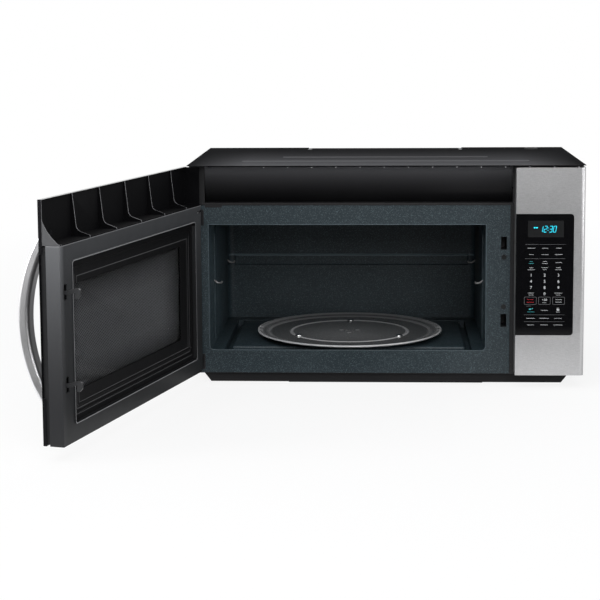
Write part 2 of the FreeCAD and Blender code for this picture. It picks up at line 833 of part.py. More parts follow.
rack_pieces = []
for wall, inward in (("-cavity_left", 1), ("cavity_right", -1)):
    for hook_y in (f"({FRONT} + rack_setback)", f"({CAVITY_BACK} - rack_behind)"):
        low_z = "(rack_height - rack_lift / 2)"
        bend_z = (f"{low_z} - rack_wire / 2", f"{low_z} + rack_wire / 2")
        tip_z = f"{low_z} + rack_tip"
        wire = [("0", f"{bend_z[0]} + rack_lift"), ("rack_bend / 2", bend_z[0]),
                ("rack_bend + rack_wire", bend_z[0]), ("rack_reach", tip_z),
                ("rack_reach - rack_wire", tip_z), ("rack_bend", bend_z[1]),
                ("rack_bend / 2 + rack_wire / 2", bend_z[1]), ("0", f"{bend_z[1]} + rack_lift")]
        outline = [(f"{wall} + {inward} * ({reach})", z) for reach, z in wire]
        hook = new_body("rack_hook")
        pad(hook, draw(hook, "XZ_Plane", f"-({hook_y} + rack_wire / 2)", outline), "rack_wire")
        rack_pieces.append(hook)
keep("rack_supports", group(*rack_pieces))

# Hood vent: a sill and posts above the front plate, with the curved deflector between them

sill_front = f"({FRONT} - sill_proud)"
post_y = (FRONT, f"{FRONT} + post_thick")
vent_frame = join(
    block(("-plate_left", "panel_left"), (sill_front, f"{FRONT} + sill_depth"), ("plate_high", "sill_high")),
    block(("-deflector_left", "-deflector_left + sill_step"), (sill_front, FRONT),
          ("plate_high - sill_lip", "sill_high")),
    block((f"{LEFT} + sheet", "-deflector_left - fit_gap"), post_y, ("plate_high", COVER_LOW)),
    block(("deflector_right + fit_gap", "panel_left + panel_wall"), post_y, ("plate_high", COVER_LOW)),
    block(("-deflector_left", "deflector_right"),
          (f"{FRONT} + deflector_depth", f"{FRONT} + deflector_depth + post_thick"),
          ("sill_high - sheet", COVER_LOW)),
    block(("-deflector_left", "deflector_right"), (FRONT, f"{FRONT} + deflector_depth + post_thick"),
          ("sill_high - sheet", "sill_high")),
)
keep("vent_frame", vent_frame)

curve_axis = (f"({FRONT} + deflector_radius)", "deflector_high")
deflector_x = ("-deflector_left", "deflector_right")
deflector_skin = tube("x", curve_axis, deflector_x, "deflector_radius", "deflector_radius - deflector_wall")
deflector_clip = block(deflector_x, (FRONT, f"{FRONT} + deflector_depth"), ("sill_high", "deflector_high"))
deflector_ends = []
for end in (("-deflector_left", "-deflector_left + post_thick"),
            ("deflector_right - post_thick", "deflector_right")):
    web = overlap(rod("x", curve_axis, end, "deflector_radius"),
                  block(end, (FRONT, f"{FRONT} + deflector_depth"), ("sill_high", "deflector_high")))
    deflector_ends.append(web)
keep("vent_deflector", join(overlap(deflector_skin, deflector_clip), *deflector_ends))

# Charcoal filter: a flat pad on the cavity roof behind the deflector

charcoal_front = f"({FRONT} + deflector_depth + charcoal_gap)"
keep("charcoal_filter", block((f"{CAVITY_MID} - charcoal_width / 2", f"{CAVITY_MID} + charcoal_width / 2"),
                              (charcoal_front, f"{charcoal_front} + charcoal_depth"),
                              ("cavity_high + sheet", "cavity_high + sheet + charcoal_thick")))

# Control panel: a hollow front box, a sunk glass, the key membrane, the display and the board behind

panel_y = (FACE, FRONT)
panel_z = ("panel_low", "panel_high")
panel_blank = rounded(block(("panel_left", RIGHT), panel_y, panel_z), "panel_round",
                      lambda middle, way: abs(way.z) > 0.9 and near(middle.x, RIGHT) and near(middle.y,
                                                                                              FACE))
panel_hollow = block(("panel_left + panel_wall", f"{RIGHT} - panel_wall"), (f"{FACE} + panel_front", FRONT),
                     ("panel_low + panel_wall", "panel_high - panel_wall"))
glass_back = f"({FACE} + glass_thick)"
board_front = f"({FACE} + board_setback)"
window = block(("panel_left + key_margin", "glass_right - key_margin"), (FACE, f"{FACE} + 2 * panel_front"),
               ("glass_low + key_margin", "glass_high - key_margin"))


def glass_blank(gap):
    """The control glass, open to the panel's left edge, drawn in by a gap."""
    plain = block(("panel_left", f"glass_right - {gap}"), (FACE, glass_back),
                  (f"glass_low + {gap}", f"glass_high - {gap}"))
    return rounded(plain, "glass_round", lambda middle, way: abs(way.y) > 0.9
                   and near(middle.x, f"glass_right - {gap}"))


standoffs = []
for x in ("panel_left + key_margin / 2", "glass_right - key_margin / 2"):
    for z in ("glass_low + key_margin / 2", "glass_high - key_margin / 2"):
        standoffs.append(rod("y", (x, z), (f"{FACE} + panel_front", board_front), "standoff_radius"))
panel_shell = cut(panel_blank, panel_hollow, glass_blank("0"), window)
keep("control_panel_frame", join(panel_shell, *standoffs))
keep("control_glass", glass_blank("fit_gap"))
display_x = ("display_left", "display_left + display_width")
display_z = ("display_low", "display_low + display_height")
keep("display_module", block(display_x, (glass_back, board_front), display_z))
keep("key_membrane", block(("panel_left + key_margin + fit_gap", "glass_right - key_margin - fit_gap"),
                           (glass_back, f"{glass_back} + membrane_thick"),
                           ("glass_low + key_margin + fit_gap", "display_low - fit_gap")))
keep("control_board", block(("panel_left + panel_wall + fit_gap", "glass_right - board_margin"),
                            (board_front, f"{board_front} + board_thick"),
                            ("glass_low + board_margin", "glass_high - board_margin")))
bezel_x = ("plate_right", "panel_left")
keep("control_bezel", block(bezel_x, (f"{FRONT} - bezel_proud", f"{FRONT} + sheet"),
                            (BASE_TOP, "plate_high")))

# Case screws: heads on the bezel strip, beside the latch slots and under the base tray

screws = []
bezel_mid = "(plate_right + panel_left) / 2"
bezel_face = f"({FRONT} - bezel_proud)"
lower_slot_top = "(upper_slot - latch_pitch + slot_height)"
latch_head = (FRONT, "latch_head_radius")
bezel_head = (bezel_face, "small_head_radius")
for x, z, (seat_y, radius) in ((bezel_mid, "panel_low + screw_inset", bezel_head),
                               (bezel_mid, "plate_high - screw_inset", bezel_head),
                               ("latch_column", "upper_slot - latch_head_gap", latch_head),
                               ("latch_column", f"{lower_slot_top} + latch_head_gap", latch_head)):
    screws.append(rod("y", (x, z), (f"{seat_y} - screw_head_height / 2", seat_y), radius))
for side in (-1, 1):
    for y in (f"{tray_front} + screw_inset", f"{tray_back} - screw_inset"):
        screws.append(rod("z", (f"{side} * base_screw_offset", y), ("0", tray_low), "screw_head_radius"))
keep("case_screws", group(*screws))

# Hinge brackets: a plate on the front plate, an arm out to the hinge line and a pin along it

hinge_y = f"({FRONT} - hinge_setback)"
hinge_x = f"({LEFT} + hinge_inset)"
hinge_axis = (hinge_x, hinge_y)
arm_x = (f"{hinge_x} - arm_reach", f"{hinge_x} + arm_reach")
brackets = []
for arm_low, pin, foot in (("hinge_low", ("hinge_low", "hinge_low + arm_thick + pin_length"),
                            ("hinge_low", "hinge_low + foot_height")),
                           ("hinge_high - arm_thick", ("hinge_high - arm_thick - pin_length", "hinge_high"),
                            ("hinge_high - foot_height", "hinge_high"))):
    arm_span = (arm_low, f"{arm_low} + arm_thick")
    brackets.append(join(
        block(("-plate_left", "-plate_left + foot_width"), (f"{FRONT} - bracket_sheet", FRONT), foot),
        block(arm_x, (hinge_y, FRONT), arm_span),
        rod("z", hinge_axis, arm_span, "arm_reach"),
        rod("z", hinge_axis, pin, "pin_radius"),
    ))
keep("hinge_brackets", group(*brackets))

# Microwave source: the guide on the cavity's right wall, its mica cover, and the magnetron bolted to it

guide_face = f"({shell_right} + guide_width)"
guide_mid_y = f"(({guide_y[0]} + {guide_y[1]}) / 2)"
guide_mid_z = "(guide_low + guide_height / 2)"
guide_outside = block((shell_right, guide_face), (f"{guide_y[0]} - sheet", f"{guide_y[1]} + sheet"),
                      ("guide_low - sheet", "guide_low + guide_height + sheet"))
guide_inside = block((shell_right, f"{guide_face} - sheet"), guide_y, guide_z)
antenna_hole = rod("x", (guide_mid_y, guide_mid_z), (f"{guide_face} - 2 * sheet", f"{guide_face} + sheet"),
                   "antenna_radius + fit_gap")
keep("waveguide", cut(guide_outside, guide_inside, antenna_hole))
keep("waveguide_cover", block(("cavity_right - mica_thick", "cavity_right"),
                              (f"{guide_y[0]} - mica_lap", f"{guide_y[1]} + mica_lap"),
                              ("guide_low - mica_lap", "guide_low + guide_height + mica_lap")))

yoke_x = (guide_face, f"{guide_face} + magnetron_width")
yoke_y = (f"{guide_mid_y} - magnetron_depth / 2", f"{guide_mid_y} + magnetron_depth / 2")
yoke_z = (f"{guide_mid_z} - magnetron_height / 2", f"{guide_mid_z} + magnetron_height / 2")
yoke = cut(block(yoke_x, yoke_y, yoke_z),
           block((f"{yoke_x[0]} + yoke_wall", f"{yoke_x[1]} - yoke_wall"), yoke_y,
                 (f"{yoke_z[0]} + yoke_wall", f"{yoke_z[1]} - yoke_wall")))
fins = []
for fin in range(FIN_COUNT):
    fin_x = f"({yoke_x[0]} + yoke_wall + ({fin} + 0.5) * (magnetron_width - 2 * yoke_wall) / {FIN_COUNT})"
    fins.append(block((f"{fin_x} - fin_thick / 2", f"{fin_x} + fin_thick / 2"), yoke_y, yoke_z))
anode = rod("x", (guide_mid_y, guide_mid_z), yoke_x, "anode_radius")
antenna = rod("x", (guide_mid_y, guide_mid_z), (f"{guide_face} - guide_width / 2", guide_face),
              "antenna_radius")
keep("magnetron", join(yoke, *fins, anode, antenna))

# Power supply on the base plate: transformer core with its winding, and the capacitor can with its terminals

core_x = ("supply_left", "supply_left + core_width")
core_y = ("supply_front", "supply_front + core_depth")
core_z = (BASE_TOP, f"{BASE_TOP} + core_height")
winding = block((f"{core_x[0]} - winding_proud", f"{core_x[1]} + winding_proud"),
                (f"{core_y[0]} + core_limb", f"{core_y[1]} - core_limb"),
                (f"{core_z[0]} + core_limb", f"{core_z[1]} - core_limb"))
keep("hv_transformer", join(block(core_x, core_y, core_z), winding))

capacitor_axis = (f"{RIGHT} - capacitor_inset", f"{FRONT} + capacitor_setback")
capacitor_top = f"({BASE_TOP} + capacitor_height)"
terminals = [rod("z", (f"{capacitor_axis[0]} + {side} * capacitor_radius / 2", capacitor_axis[1]),
                 (capacitor_top, f"{capacitor_top} + terminal_height"),
                 "terminal_radius") for side in (-1, 1)]
capacitor_can = rod("z", capacitor_axis, (BASE_TOP, capacitor_top), "capacitor_radius")
keep("hv_capacitor", join(capacitor_can, *terminals))

# Noise filter board on two posts from the right side panel

noise_face = f"({RIGHT} - sheet - noise_post)"
noise_y = (f"{FRONT} + noise_setback", f"{FRONT} + noise_setback + noise_width")
noise_z = ("noise_low", "noise_low + noise_height")
noise_board = block((f"{noise_face} - board_thick", noise_face), noise_y, noise_z)
noise_choke = rod("x", (f"{noise_y[0]} + noise_width / 2", f"{noise_z[0]} + noise_height / 2"),
                  (f"{noise_face} - board_thick - noise_post", f"{noise_face} - board_thick"),
                  "noise_choke_radius")
noise_posts = [rod("x", (y, "noise_low + noise_height / 2"), (noise_face, f"{RIGHT} - sheet"),
                   "standoff_radius")
               for y in (f"{noise_y[0]} + noise_post", f"{noise_y[1]} - noise_post")]
keep("noise_filter_board", join(noise_board, noise_choke, *noise_posts))

# Lamps: one against the cavity's pierced wall, two above the cooktop lenses

cavity_lamp = rod("y", (f"{shell_right} - band_rise + lamp_radius", "lamp_low + lamp_rise"), lamp_window_y,
                  "lamp_radius")
surface_lamps = []
for side in (-1, 1):
    middle = f"({side} * light_offset)"
    surface_lamps.append(rod("x", (f"{tray_front} + light_setback + light_depth / 2",
                                   f"{tray_floor} + lamp_radius"),
                             (f"{middle} - lamp_length / 2", f"{middle} + lamp_length / 2"), "lamp_radius"))
keep("lamps", group(cavity_lamp, *surface_lamps))

# Thermal cutouts on the cavity roof

roof = "(cavity_high + sheet)"
cutouts = [rod("z", (f"cavity_right - {step} * cutout_pitch", f"{FRONT} + cutout_setback"),
               (roof, f"{roof} + cutout_height"),
               "cutout_radius") for step in (1, 2)]
keep("thermal_cutouts", group(*cutouts))

# Latch bodies behind the slots, each with a switch at its back

latch_bodies = []
switches = []
latch_front = f"({FRONT} + sheet)"
latch_x = ("latch_column - latch_width / 2", "latch_column + latch_width / 2")
for index in range(2):
    slot_z = (f"{slot_low(index)} - fit_gap", f"{slot_low(index)} + slot_height + fit_gap")
    outside = block(latch_x, (latch_front, f"{latch_front} + latch_depth"),
                    (f"{slot_z[0]} - latch_wall", f"{slot_z[1]} + latch_wall"))
    inside = block(("latch_column - slot_width / 2", "latch_column + slot_width / 2"),
                   (latch_front, f"{latch_front} + latch_depth - latch_wall"), slot_z)
    latch_bodies.append(cut(outside, inside))
    switches.append(block(latch_x, (f"{latch_front} + latch_depth",
                                    f"{latch_front} + latch_depth + switch_depth"),
                          (slot_z[0], slot_z[1])))
keep("latch_bodies", group(*latch_bodies))
keep("interlock_switches", group(*switches))


def spun(solid, axis, angle):
    """A solid turned about the origin's own axis."""
    copy = doc.addObject("Part::Compound", "spun")
    copy.Links = [solid]
    direction = {"x": Vector(1, 0, 0), "y": Vector(0, 1, 0), "z": Vector(0, 0, 1)}[axis]
    copy.Placement = Placement(Vector(), Rotation(direction, angle))
    return copy


# Cooling fan at the rear right: a shroud on four posts, a motor on the rear panel and its bladed wheel

rear_inside = f"({BACK} - sheet)"
shroud_y = (f"{rear_inside} - shroud_gap - shroud_thick", f"{rear_inside} - shroud_gap")
shroud_half = "(fan_radius + shroud_margin)"
shroud_plate = cut(
    block((f"fan_x - {shroud_half}", f"fan_x + {shroud_half}"), shroud_y,
          (f"fan_z - {shroud_half}", f"fan_z + {shroud_half}")),
    rod("y", ("fan_x", "fan_z"), shroud_y, "fan_radius + fan_gap"))
post_reach = f"({shroud_half} - standoff_radius)"
shroud_posts = [rod("y", (f"fan_x + {i} * {post_reach}", f"fan_z + {j} * {post_reach}"),
                    (shroud_y[0], rear_inside),
                    "standoff_radius") for i in (-1, 1) for j in (-1, 1)]
keep("cooling_fan_shroud", join(shroud_plate, *shroud_posts))

fan_motor_y = (f"{rear_inside} - fan_motor_depth", rear_inside)
fan_shaft_front = f"({fan_motor_y[0]} - fan_shaft_length)"
keep("cooling_fan_motor", join(
    block(("fan_x - fan_motor_width / 2", "fan_x + fan_motor_width / 2"), fan_motor_y,
          ("fan_z - fan_motor_width / 2", "fan_z + fan_motor_width / 2")),
    rod("y", ("fan_x", "fan_z"), (fan_shaft_front, fan_motor_y[0]), "fan_shaft_radius")))

fan_blades = [spun(block(("-blade_thick / 2", "blade_thick / 2"), ("0", "fan_width"),
                         ("fan_hub_radius - blade_thick", "fan_radius")),
                   "y", 360 / BLADE_COUNT * blade) for blade in range(BLADE_COUNT)]
fan_wheel = cut(join(rod("y", ("0", "0"), ("0", "fan_width"), "fan_hub_radius"), *fan_blades),
                rod("y", ("0", "0"), ("0", "fan_width"), "fan_shaft_radius + run_gap"))
seat(fan_wheel, "fan_x", f"{fan_shaft_front} + fan_gap / 2", "fan_z")
keep("cooling_fan_wheel", fan_wheel)

# Vent blower on the cavity roof: a two-inlet housing, its motor and a rotor with a cage wheel at each side

blower_half = "(blower_width / 2)"
blower_y = ("blower_front", "blower_front + blower_depth")
blower_z = (roof, "blower_top")
blower_axis = ("(blower_front + blower_depth / 2)", "((cavity_high + sheet + blower_top) / 2)")
blower_back = f"({blower_y[1]})"
outlet_z = ("outlet_low", "blower_top - blower_wall")
housing = cut(
    block((f"-{blower_half}", blower_half), blower_y, blower_z),
    block((f"-{blower_half} + blower_wall", f"{blower_half} - blower_wall"),
          (f"{blower_y[0]} + blower_wall", f"{blower_y[1]} - blower_wall"),
          (f"{blower_z[0]} + blower_wall", f"{blower_z[1]} - blower_wall")),
    rod("x", blower_axis, (f"-{blower_half}", blower_half), "inlet_radius"),
    block((f"-{blower_half} + blower_wall", f"{blower_half} - blower_wall"),
          (f"{blower_y[1]} - 2 * blower_wall", f"{blower_y[1]} + blower_wall"), outlet_z),
)
keep("vent_blower_housing", housing)

motor_half = "(blower_motor_length / 2)"
motor_can = rod("x", blower_axis, (f"-{motor_half}", motor_half), "blower_motor_radius")
motor_foot = block((f"-{motor_half}", motor_half),
                   (f"{blower_axis[0]} - blower_motor_radius / 2",
                    f"{blower_axis[0]} + blower_motor_radius / 2"),
                   (f"{roof} + blower_wall", blower_axis[1]))
keep("vent_blower_motor", cut(join(motor_can, motor_foot),
                              rod("x", blower_axis, (f"-{motor_half}", motor_half),
                                  "rotor_shaft_radius + run_gap")))

wheel_inner = f"({motor_half} + wheel_gap)"
wheel_outer = f"({blower_half} - blower_wall - wheel_gap)"
rotor_pieces = [rod("x", ("0", "0"), (f"-{wheel_outer}", wheel_outer), "rotor_shaft_radius")]
for side in (-1, 1):
    span = (wheel_inner, wheel_outer) if side > 0 else (f"-{wheel_outer}", f"-{wheel_inner}")
    disc = (wheel_inner, f"{wheel_inner} + blower_wall") if side > 0 else (f"-{wheel_inner} - blower_wall",
                                                                           f"-{wheel_inner}")
    rim = (f"{wheel_outer} - blower_wall", wheel_outer) if side > 0 else (f"-{wheel_outer}",
                                                                          f"-{wheel_outer} + blower_wall")
    rotor_pieces.append(rod("x", ("0", "0"), disc, "cage_radius"))
    rotor_pieces.append(tube("x", ("0", "0"), rim, "cage_radius", "cage_radius - cage_depth"))
    for vane in range(VANE_COUNT):
        slat = block(span, ("-blade_thick / 2", "blade_thick / 2"),
                     ("cage_radius - cage_depth", "cage_radius - run_gap"))
        rotor_pieces.append(spun(slat, "x", 360 / VANE_COUNT * vane))
blower_rotor = join(*rotor_pieces)
seat(blower_rotor, "0", *blower_axis)
keep("vent_blower_rotor", blower_rotor)

# Exhaust damper under the notch: a short duct from the blower's outlet and a flap that lifts with the air

damper_half = "(notch_width / 2 - damper_margin)"
damper_y = (blower_back, rear_inside)
damper_z = ("outlet_low - damper_wall", COVER_LOW)
flap_axis = (f"({BACK} - notch_depth + damper_margin)", "(panel_high - damper_wall)")
damper_frame = cut(
    block((f"-{damper_half}", damper_half), damper_y, damper_z),
    block((f"-{damper_half} + damper_wall", f"{damper_half} - damper_wall"),
          (f"{damper_y[0]} + damper_wall", f"{damper_y[1]} - damper_wall"), ("outlet_low", "case_height")),
    block((f"-{blower_half} + blower_wall", f"{blower_half} - blower_wall"),
          (f"{damper_y[0]} - damper_wall", f"{damper_y[0]} + 2 * damper_wall"), outlet_z),
    rod("x", flap_axis, (f"-{damper_half}", damper_half), "flap_pin_radius + run_gap"),
)
keep("exhaust_damper_frame", damper_frame)

flap_half = f"({damper_half} - damper_wall - fit_gap)"
flap_length = f"({BACK} - sheet - damper_wall - flap_gap - {flap_axis[0]})"
flap = join(
    block((f"-{flap_half}", flap_half), ("0", flap_length), ("-flap_thick / 2", "flap_thick / 2")),
    rod("x", ("0", "0"), (f"-{flap_half}", flap_half), "flap_pin_radius + flap_thick / 2"),
    rod("x", ("0", "0"), (f"-{damper_half} + run_gap", f"{damper_half} - run_gap"), "flap_pin_radius"),
)
seat(flap, "0", *flap_axis)
keep("damper_flap", flap)

# Turntable: a flat motor under the sunk floor, its coupler, a ring of rollers and the glass tray

motor_top = "(recess_floor - sheet)"
keep("turntable_motor", join(
    rod("z", shaft_axis, (f"{motor_top} - turn_motor_height", motor_top), "turn_motor_radius"),
    rod("z", shaft_axis, (motor_top, "coupler_low + shaft_length"), "turn_shaft_radius")))

tray_low_z = "(recess_floor + 2 * fit_gap + 2 * roller_radius)"
lobes = [spun(block(("0", "lobe_reach"), ("-lobe_width / 2", "lobe_width / 2"), ("coupler_low", tray_low_z)),
              "z", 360 / ROLLER_COUNT * lobe)
         for lobe in range(ROLLER_COUNT)]
coupler = cut(join(rod("z", ("0", "0"), ("coupler_low", tray_low_z), "coupler_radius"), *lobes),
              rod("z", ("0", "0"), ("coupler_low", "coupler_low + shaft_length + run_gap"),
                  "turn_shaft_radius + run_gap"))
seat(coupler, *shaft_axis, "0")
keep("drive_coupler", coupler)

tray_profile = [("0", "0"), ("tray_flat", "0"), ("tray_radius - rim_lip", "rim_rise - tray_thick / 2"),
                ("tray_radius", "rim_rise"),
                ("tray_radius", "rim_rise + tray_thick / 2"),
                ("tray_radius - rim_lip", "rim_rise + tray_thick / 2"),
                ("tray_flat", "tray_thick"), ("ridge_radius + ridge_width", "tray_thick"),
                ("ridge_radius", "tray_thick + ridge_rise"), ("ridge_radius - ridge_width", "tray_thick"),
                ("0", "tray_thick")]
glass_tray = new_body("glass_tray_body")
revolve(glass_tray, draw(glass_tray, "XZ_Plane", "0", tray_profile))
seat(glass_tray, *shaft_axis, tray_low_z)
keep("glass_tray", glass_tray)

roller_z = "(recess_floor + fit_gap + roller_radius)"
stub_end = "(roller_track + roller_width / 2 + stub_spare)"
stub_start = "(ring_radius - ring_wall)"
ring_pieces = [tube("z", ("0", "0"), (f"{roller_z} - ring_height / 2", f"{roller_z} + ring_height / 2"),
                    "ring_radius", stub_start)]
for stub in range(ROLLER_COUNT):
    pin = rod("x", ("0", roller_z), (f"{stub_start} + ring_wall / 2", stub_end), "stub_radius")
    ring_pieces.append(spun(pin, "z", 360 / ROLLER_COUNT * stub))
roller_ring = join(*ring_pieces)
seat(roller_ring, *shaft_axis, "0")
keep("roller_ring", roller_ring)

roller_span = ("roller_track - roller_width / 2", "roller_track + roller_width / 2")
for number in range(ROLLER_COUNT):
    wheel = spun(tube("x", ("0", roller_z), roller_span, "roller_radius", "stub_radius + run_gap"), "z",
                 360 / ROLLER_COUNT * number)
    seat(wheel, *shaft_axis, "0")
    keep(f"roller_wheel_{number + 1}", wheel)

# Door, drawn about its hinge line: x runs to the free edge, y from the outer face to the inner one

edge_near = "(-door_edge)"
edge_far = "door_reach"
outer = f"({FACE} - {hinge_y})"
inner = "(hinge_setback - door_clear)"
skin_back = f"({outer} + sheet)"
pan_front = f"({outer} + glass_thick)"
latch_u = f"(latch_column - {hinge_x})"
window_x = ("window_left", "window_right")
window_z = ("window_low", "window_high")
bead_x = ("bead_left", "bead_right")
bead_z = ("bead_low", "bead_high")
screen_top = "screen_thick"
inner_glass_top = "(screen_thick + inner_glass_thick)"


def hang(solid):
    """Set a door piece on the hinge line, swung open."""
    hung = group(solid)
    seat(hung, hinge_x, hinge_y, "0")
    hung.setExpression("Placement.Rotation.Angle", tied("-door_open_angle"))
    return hung


def grown(span, margin):
    """A span widened at both ends."""
    return (f"{span[0]} - {margin}", f"{span[1]} + {margin}")


def ring(x, y, z, wall):
    """A rectangular frame in the door's plane, its wall inside the given outline."""
    return cut(block(x, y, z), block(grown(x, f"(-{wall})"), y, grown(z, f"(-{wall})")))


arm_room = []
bush_room = []
bush_spans = []
for arm, way in (("hinge_low", 1), ("hinge_high - arm_thick", -1)):
    arm_room.append(rod("z", ("0", "0"), (f"{arm} - arm_gap", f"{arm} + arm_thick + arm_gap"), "arm_sweep"))
    far_end = f"({arm} + arm_thick + pin_length)" if way > 0 else f"({arm} - pin_length)"
    near_end = f"({arm} + arm_thick + fit_gap)" if way > 0 else f"({arm} - fit_gap)"
    span = (near_end, far_end) if way > 0 else (far_end, near_end)
    bush_spans.append(span)
    bush_room.append(rod("z", ("0", "0"), span, "bush_radius"))

# Skin: stainless front with short returns and the glass band cut out to its free edge

handle_mid = "((panel_low + panel_high) / 2)"
handle_screw_z = [f"({handle_mid} - handle_span / 2)", f"({handle_mid} + handle_span / 2)"]
skin_depth = (outer, f"{outer} + skin_return")
glass_cut = block(("door_glass_left", f"{edge_far} + sheet"), grown(skin_depth, "sheet"),
                  ("glass_low", "glass_high"))
skin_blank = cut(block((edge_near, edge_far), skin_depth, panel_z),
                 block(grown((edge_near, edge_far), "(-sheet)"), (skin_back, f"{outer} + skin_return"),
                       grown(panel_z, "(-sheet)")))
screw_holes = [rod("y", ("handle_u", z), (f"{outer} - screw_length", skin_back), "screw_radius + run_gap")
               for z in handle_screw_z]
keep("door_skin", hang(cut(skin_blank, glass_cut, *screw_holes)))

door_glass = rounded(block(("door_glass_left + fit_gap", edge_far), (outer, pan_front),
                           ("glass_low + fit_gap", "glass_high - fit_gap")), "glass_round",
                     lambda middle, way: abs(way.y) > 0.9 and near(middle.x, "door_glass_left + fit_gap"))
keep("door_glass", hang(door_glass))

# Choke frame: a folded pan behind the glass with a wall round its window, hinge bosses and the spring's seat

frame_inset = "(cover_wall + fit_gap)"
frame_x = (f"{edge_near} + {frame_inset}", f"{edge_far} - {frame_inset}")
frame_z = (f"panel_low + {frame_inset}", f"channel_low - {frame_inset}")
key_top = "(upper_slot + slot_height + key_margin_top)"
spring_low = f"({key_top} + latch_travel + fit_gap)"
spring_high = f"({spring_low} + spring_length)"
frame_pan = cut(block(frame_x, (pan_front, "0"), frame_z),
                block(grown(frame_x, "(-sheet)"), (pan_front, "-sheet"), grown(frame_z, "(-sheet)")))
choke_wall = ring(grown(window_x, "choke_margin"), ("-choke_depth", "0"), grown(window_z, "choke_margin"),
                  "sheet")
bosses = [block((frame_x[0], "boss_reach"), ("-boss_reach", "0"), span) for span in bush_spans]
spring_seat = block((f"{latch_u} - spring_radius", f"{latch_u} + spring_radius"),
                    ("-sheet", "2 * spring_radius + sheet"),
                    (spring_high, f"{spring_high} + cover_wall"))
choke_hole = block(window_x, ("-choke_depth", "choke_depth"), window_z)
frame_solid = join(frame_pan, choke_wall, *bosses, spring_seat)
keep("door_frame", hang(cut(frame_solid, choke_hole, *arm_room, *bush_room)))
bushes = [cut(rod("z", ("0", "0"), span, "bush_radius"), rod("z", ("0", "0"), span, "pin_radius + run_gap"))
          for span in bush_spans]
keep("door_hinge_bushes", hang(group(*bushes)))
keep("latch_spring", hang(tube("z", (latch_u, "spring_radius + fit_gap"), (spring_low, spring_high),
                               "spring_radius",
                               "spring_radius - sheet")))

# Screen and inner glass over the window, then the moulded inner cover with its bead and stepped tub

keep("door_screen", hang(block(grown(window_x, "screen_lap"), ("0", screen_top),
                               grown(window_z, "screen_lap"))))
keep("door_inner_glass", hang(block(grown(window_x, "screen_lap"), (screen_top, inner_glass_top),
                                    grown(window_z, "screen_lap"))))

cover_x = (edge_near, edge_far)
cover_z = ("panel_low", "channel_low")
face_back = f"({inner} - cover_wall)"
tub_floor = f"({inner_glass_top} + cover_wall)"
cover_shell = cut(block(cover_x, ("-cover_skirt", inner), cover_z),
                  block(grown(cover_x, "(-cover_wall)"), ("-cover_skirt", face_back),
                        grown(cover_z, "(-cover_wall)")))
tub = block(bead_x, (inner_glass_top, face_back), bead_z)
corner_post = block((edge_near, "-post_edge"), ("post_inner", inner), cover_z)
tub_hollow = rounded(block(grown(bead_x, "(-bead_width)"), (tub_floor, f"{inner} + bead_rise"),
                           grown(bead_z, "(-bead_width)")),
                     "bead_round", lambda middle, way: abs(way.y) > 0.9)
bead_outside = rounded(block(bead_x, (face_back, f"{inner} + bead_rise"), bead_z), "bead_round",
                       lambda middle, way: abs(way.y) > 0.9)
step_x = grown(bead_x, "(-step_inset)")
step_z = grown(bead_z, "(-step_inset)")
step_ring = ring(step_x, (tub_floor, f"{tub_floor} + step_rise"), step_z, "step_width")
step_bar = block(step_x, (tub_floor, f"{tub_floor} + step_rise"),
                 (f"{step_z[0]} + step_pitch", f"{step_z[0]} + step_pitch + step_width"))
slot_cuts = [block((f"{latch_u} - hook_width", f"{latch_u} + hook_width"),
                   (f"{face_back} - sheet", f"{inner} + sheet"),
                   (slot_low(index), f"{slot_low(index)} + slot_height")) for index in range(2)]
wedge = new_body("edge_wedge")
wedge_sketch = draw(wedge, "XY_Plane", "panel_low - sheet", [
    (f"{edge_near} - sheet", f"{inner} + sheet"), (f"{edge_near} - sheet", f"{inner} - edge_bevel - sheet"),
    (f"{edge_near} + edge_bevel + sheet", f"{inner} + sheet")])
pad(wedge, wedge_sketch, "panel_high - panel_low + 2 * sheet")
cover_blank = cut(join(cover_shell, tub, corner_post, bead_outside), tub_hollow)
cover_window = block(window_x, (inner_glass_top, f"{inner} + sheet"), window_z)
keep("door_inner_cover", hang(cut(join(cover_blank, step_ring, step_bar), cover_window, wedge, *slot_cuts,
                                  *arm_room, *bush_room)))

# Louvre channel along the top: an outer wall, a floor, a cap at each end and five curved ribs

channel_x = grown((edge_near, edge_far), "(-sheet)")
channel_floor = "(channel_low + louvre_wall)"
channel_top = "(panel_high - sheet)"
wall_back = f"({skin_back} + louvre_wall)"
cap_axis = ("cap_centre", channel_top)
cap_radius = f"(cap_centre - {wall_back} + rib_tip)"
hinge_cap = block((channel_x[0], f"{channel_x[0]} + louvre_wall"), (wall_back, inner),
                  (channel_floor, channel_top))
free_span = (f"{channel_x[1]} - louvre_wall", channel_x[1])
free_cap = cut(block(free_span, (wall_back, inner), (channel_floor, channel_top)),
               rod("x", cap_axis, free_span, cap_radius))
rib_shape = [(wall_back, channel_floor), (inner, channel_floor), (inner, f"{channel_floor} + rib_toe"),
             (f"{wall_back} + rib_root", f"{channel_floor} + rib_foot"),
             (f"{wall_back} + rib_tip", channel_top),
             (wall_back, channel_top)]
ribs = []
for number in range(LOUVRE_RIBS):
    rib = new_body("louvre_rib")
    pad(rib, draw(rib, "YZ_Plane", f"rib_first + {number} * rib_pitch", rib_shape), "rib_thick")
    soften(rib, "rib_curve", lambda middle, way: near(middle.y, f"{wall_back} + rib_root")
           and near(middle.z, f"{channel_floor} + rib_foot"))
    ribs.append(rib)
louvre = join(block(channel_x, (skin_back, wall_back), ("channel_low", channel_top)),
              block(channel_x, (skin_back, inner), ("channel_low", channel_floor)),
              hinge_cap, free_cap, *ribs)
head_room = rod("y", ("handle_u", handle_screw_z[1]), (skin_back, f"{skin_back} + screw_head"),
                "screw_head_wide + fit_gap")
keep("door_louvre", hang(cut(louvre, head_room, wedge)))

# Handle: a bowed bar on the skin, held by two screws from inside

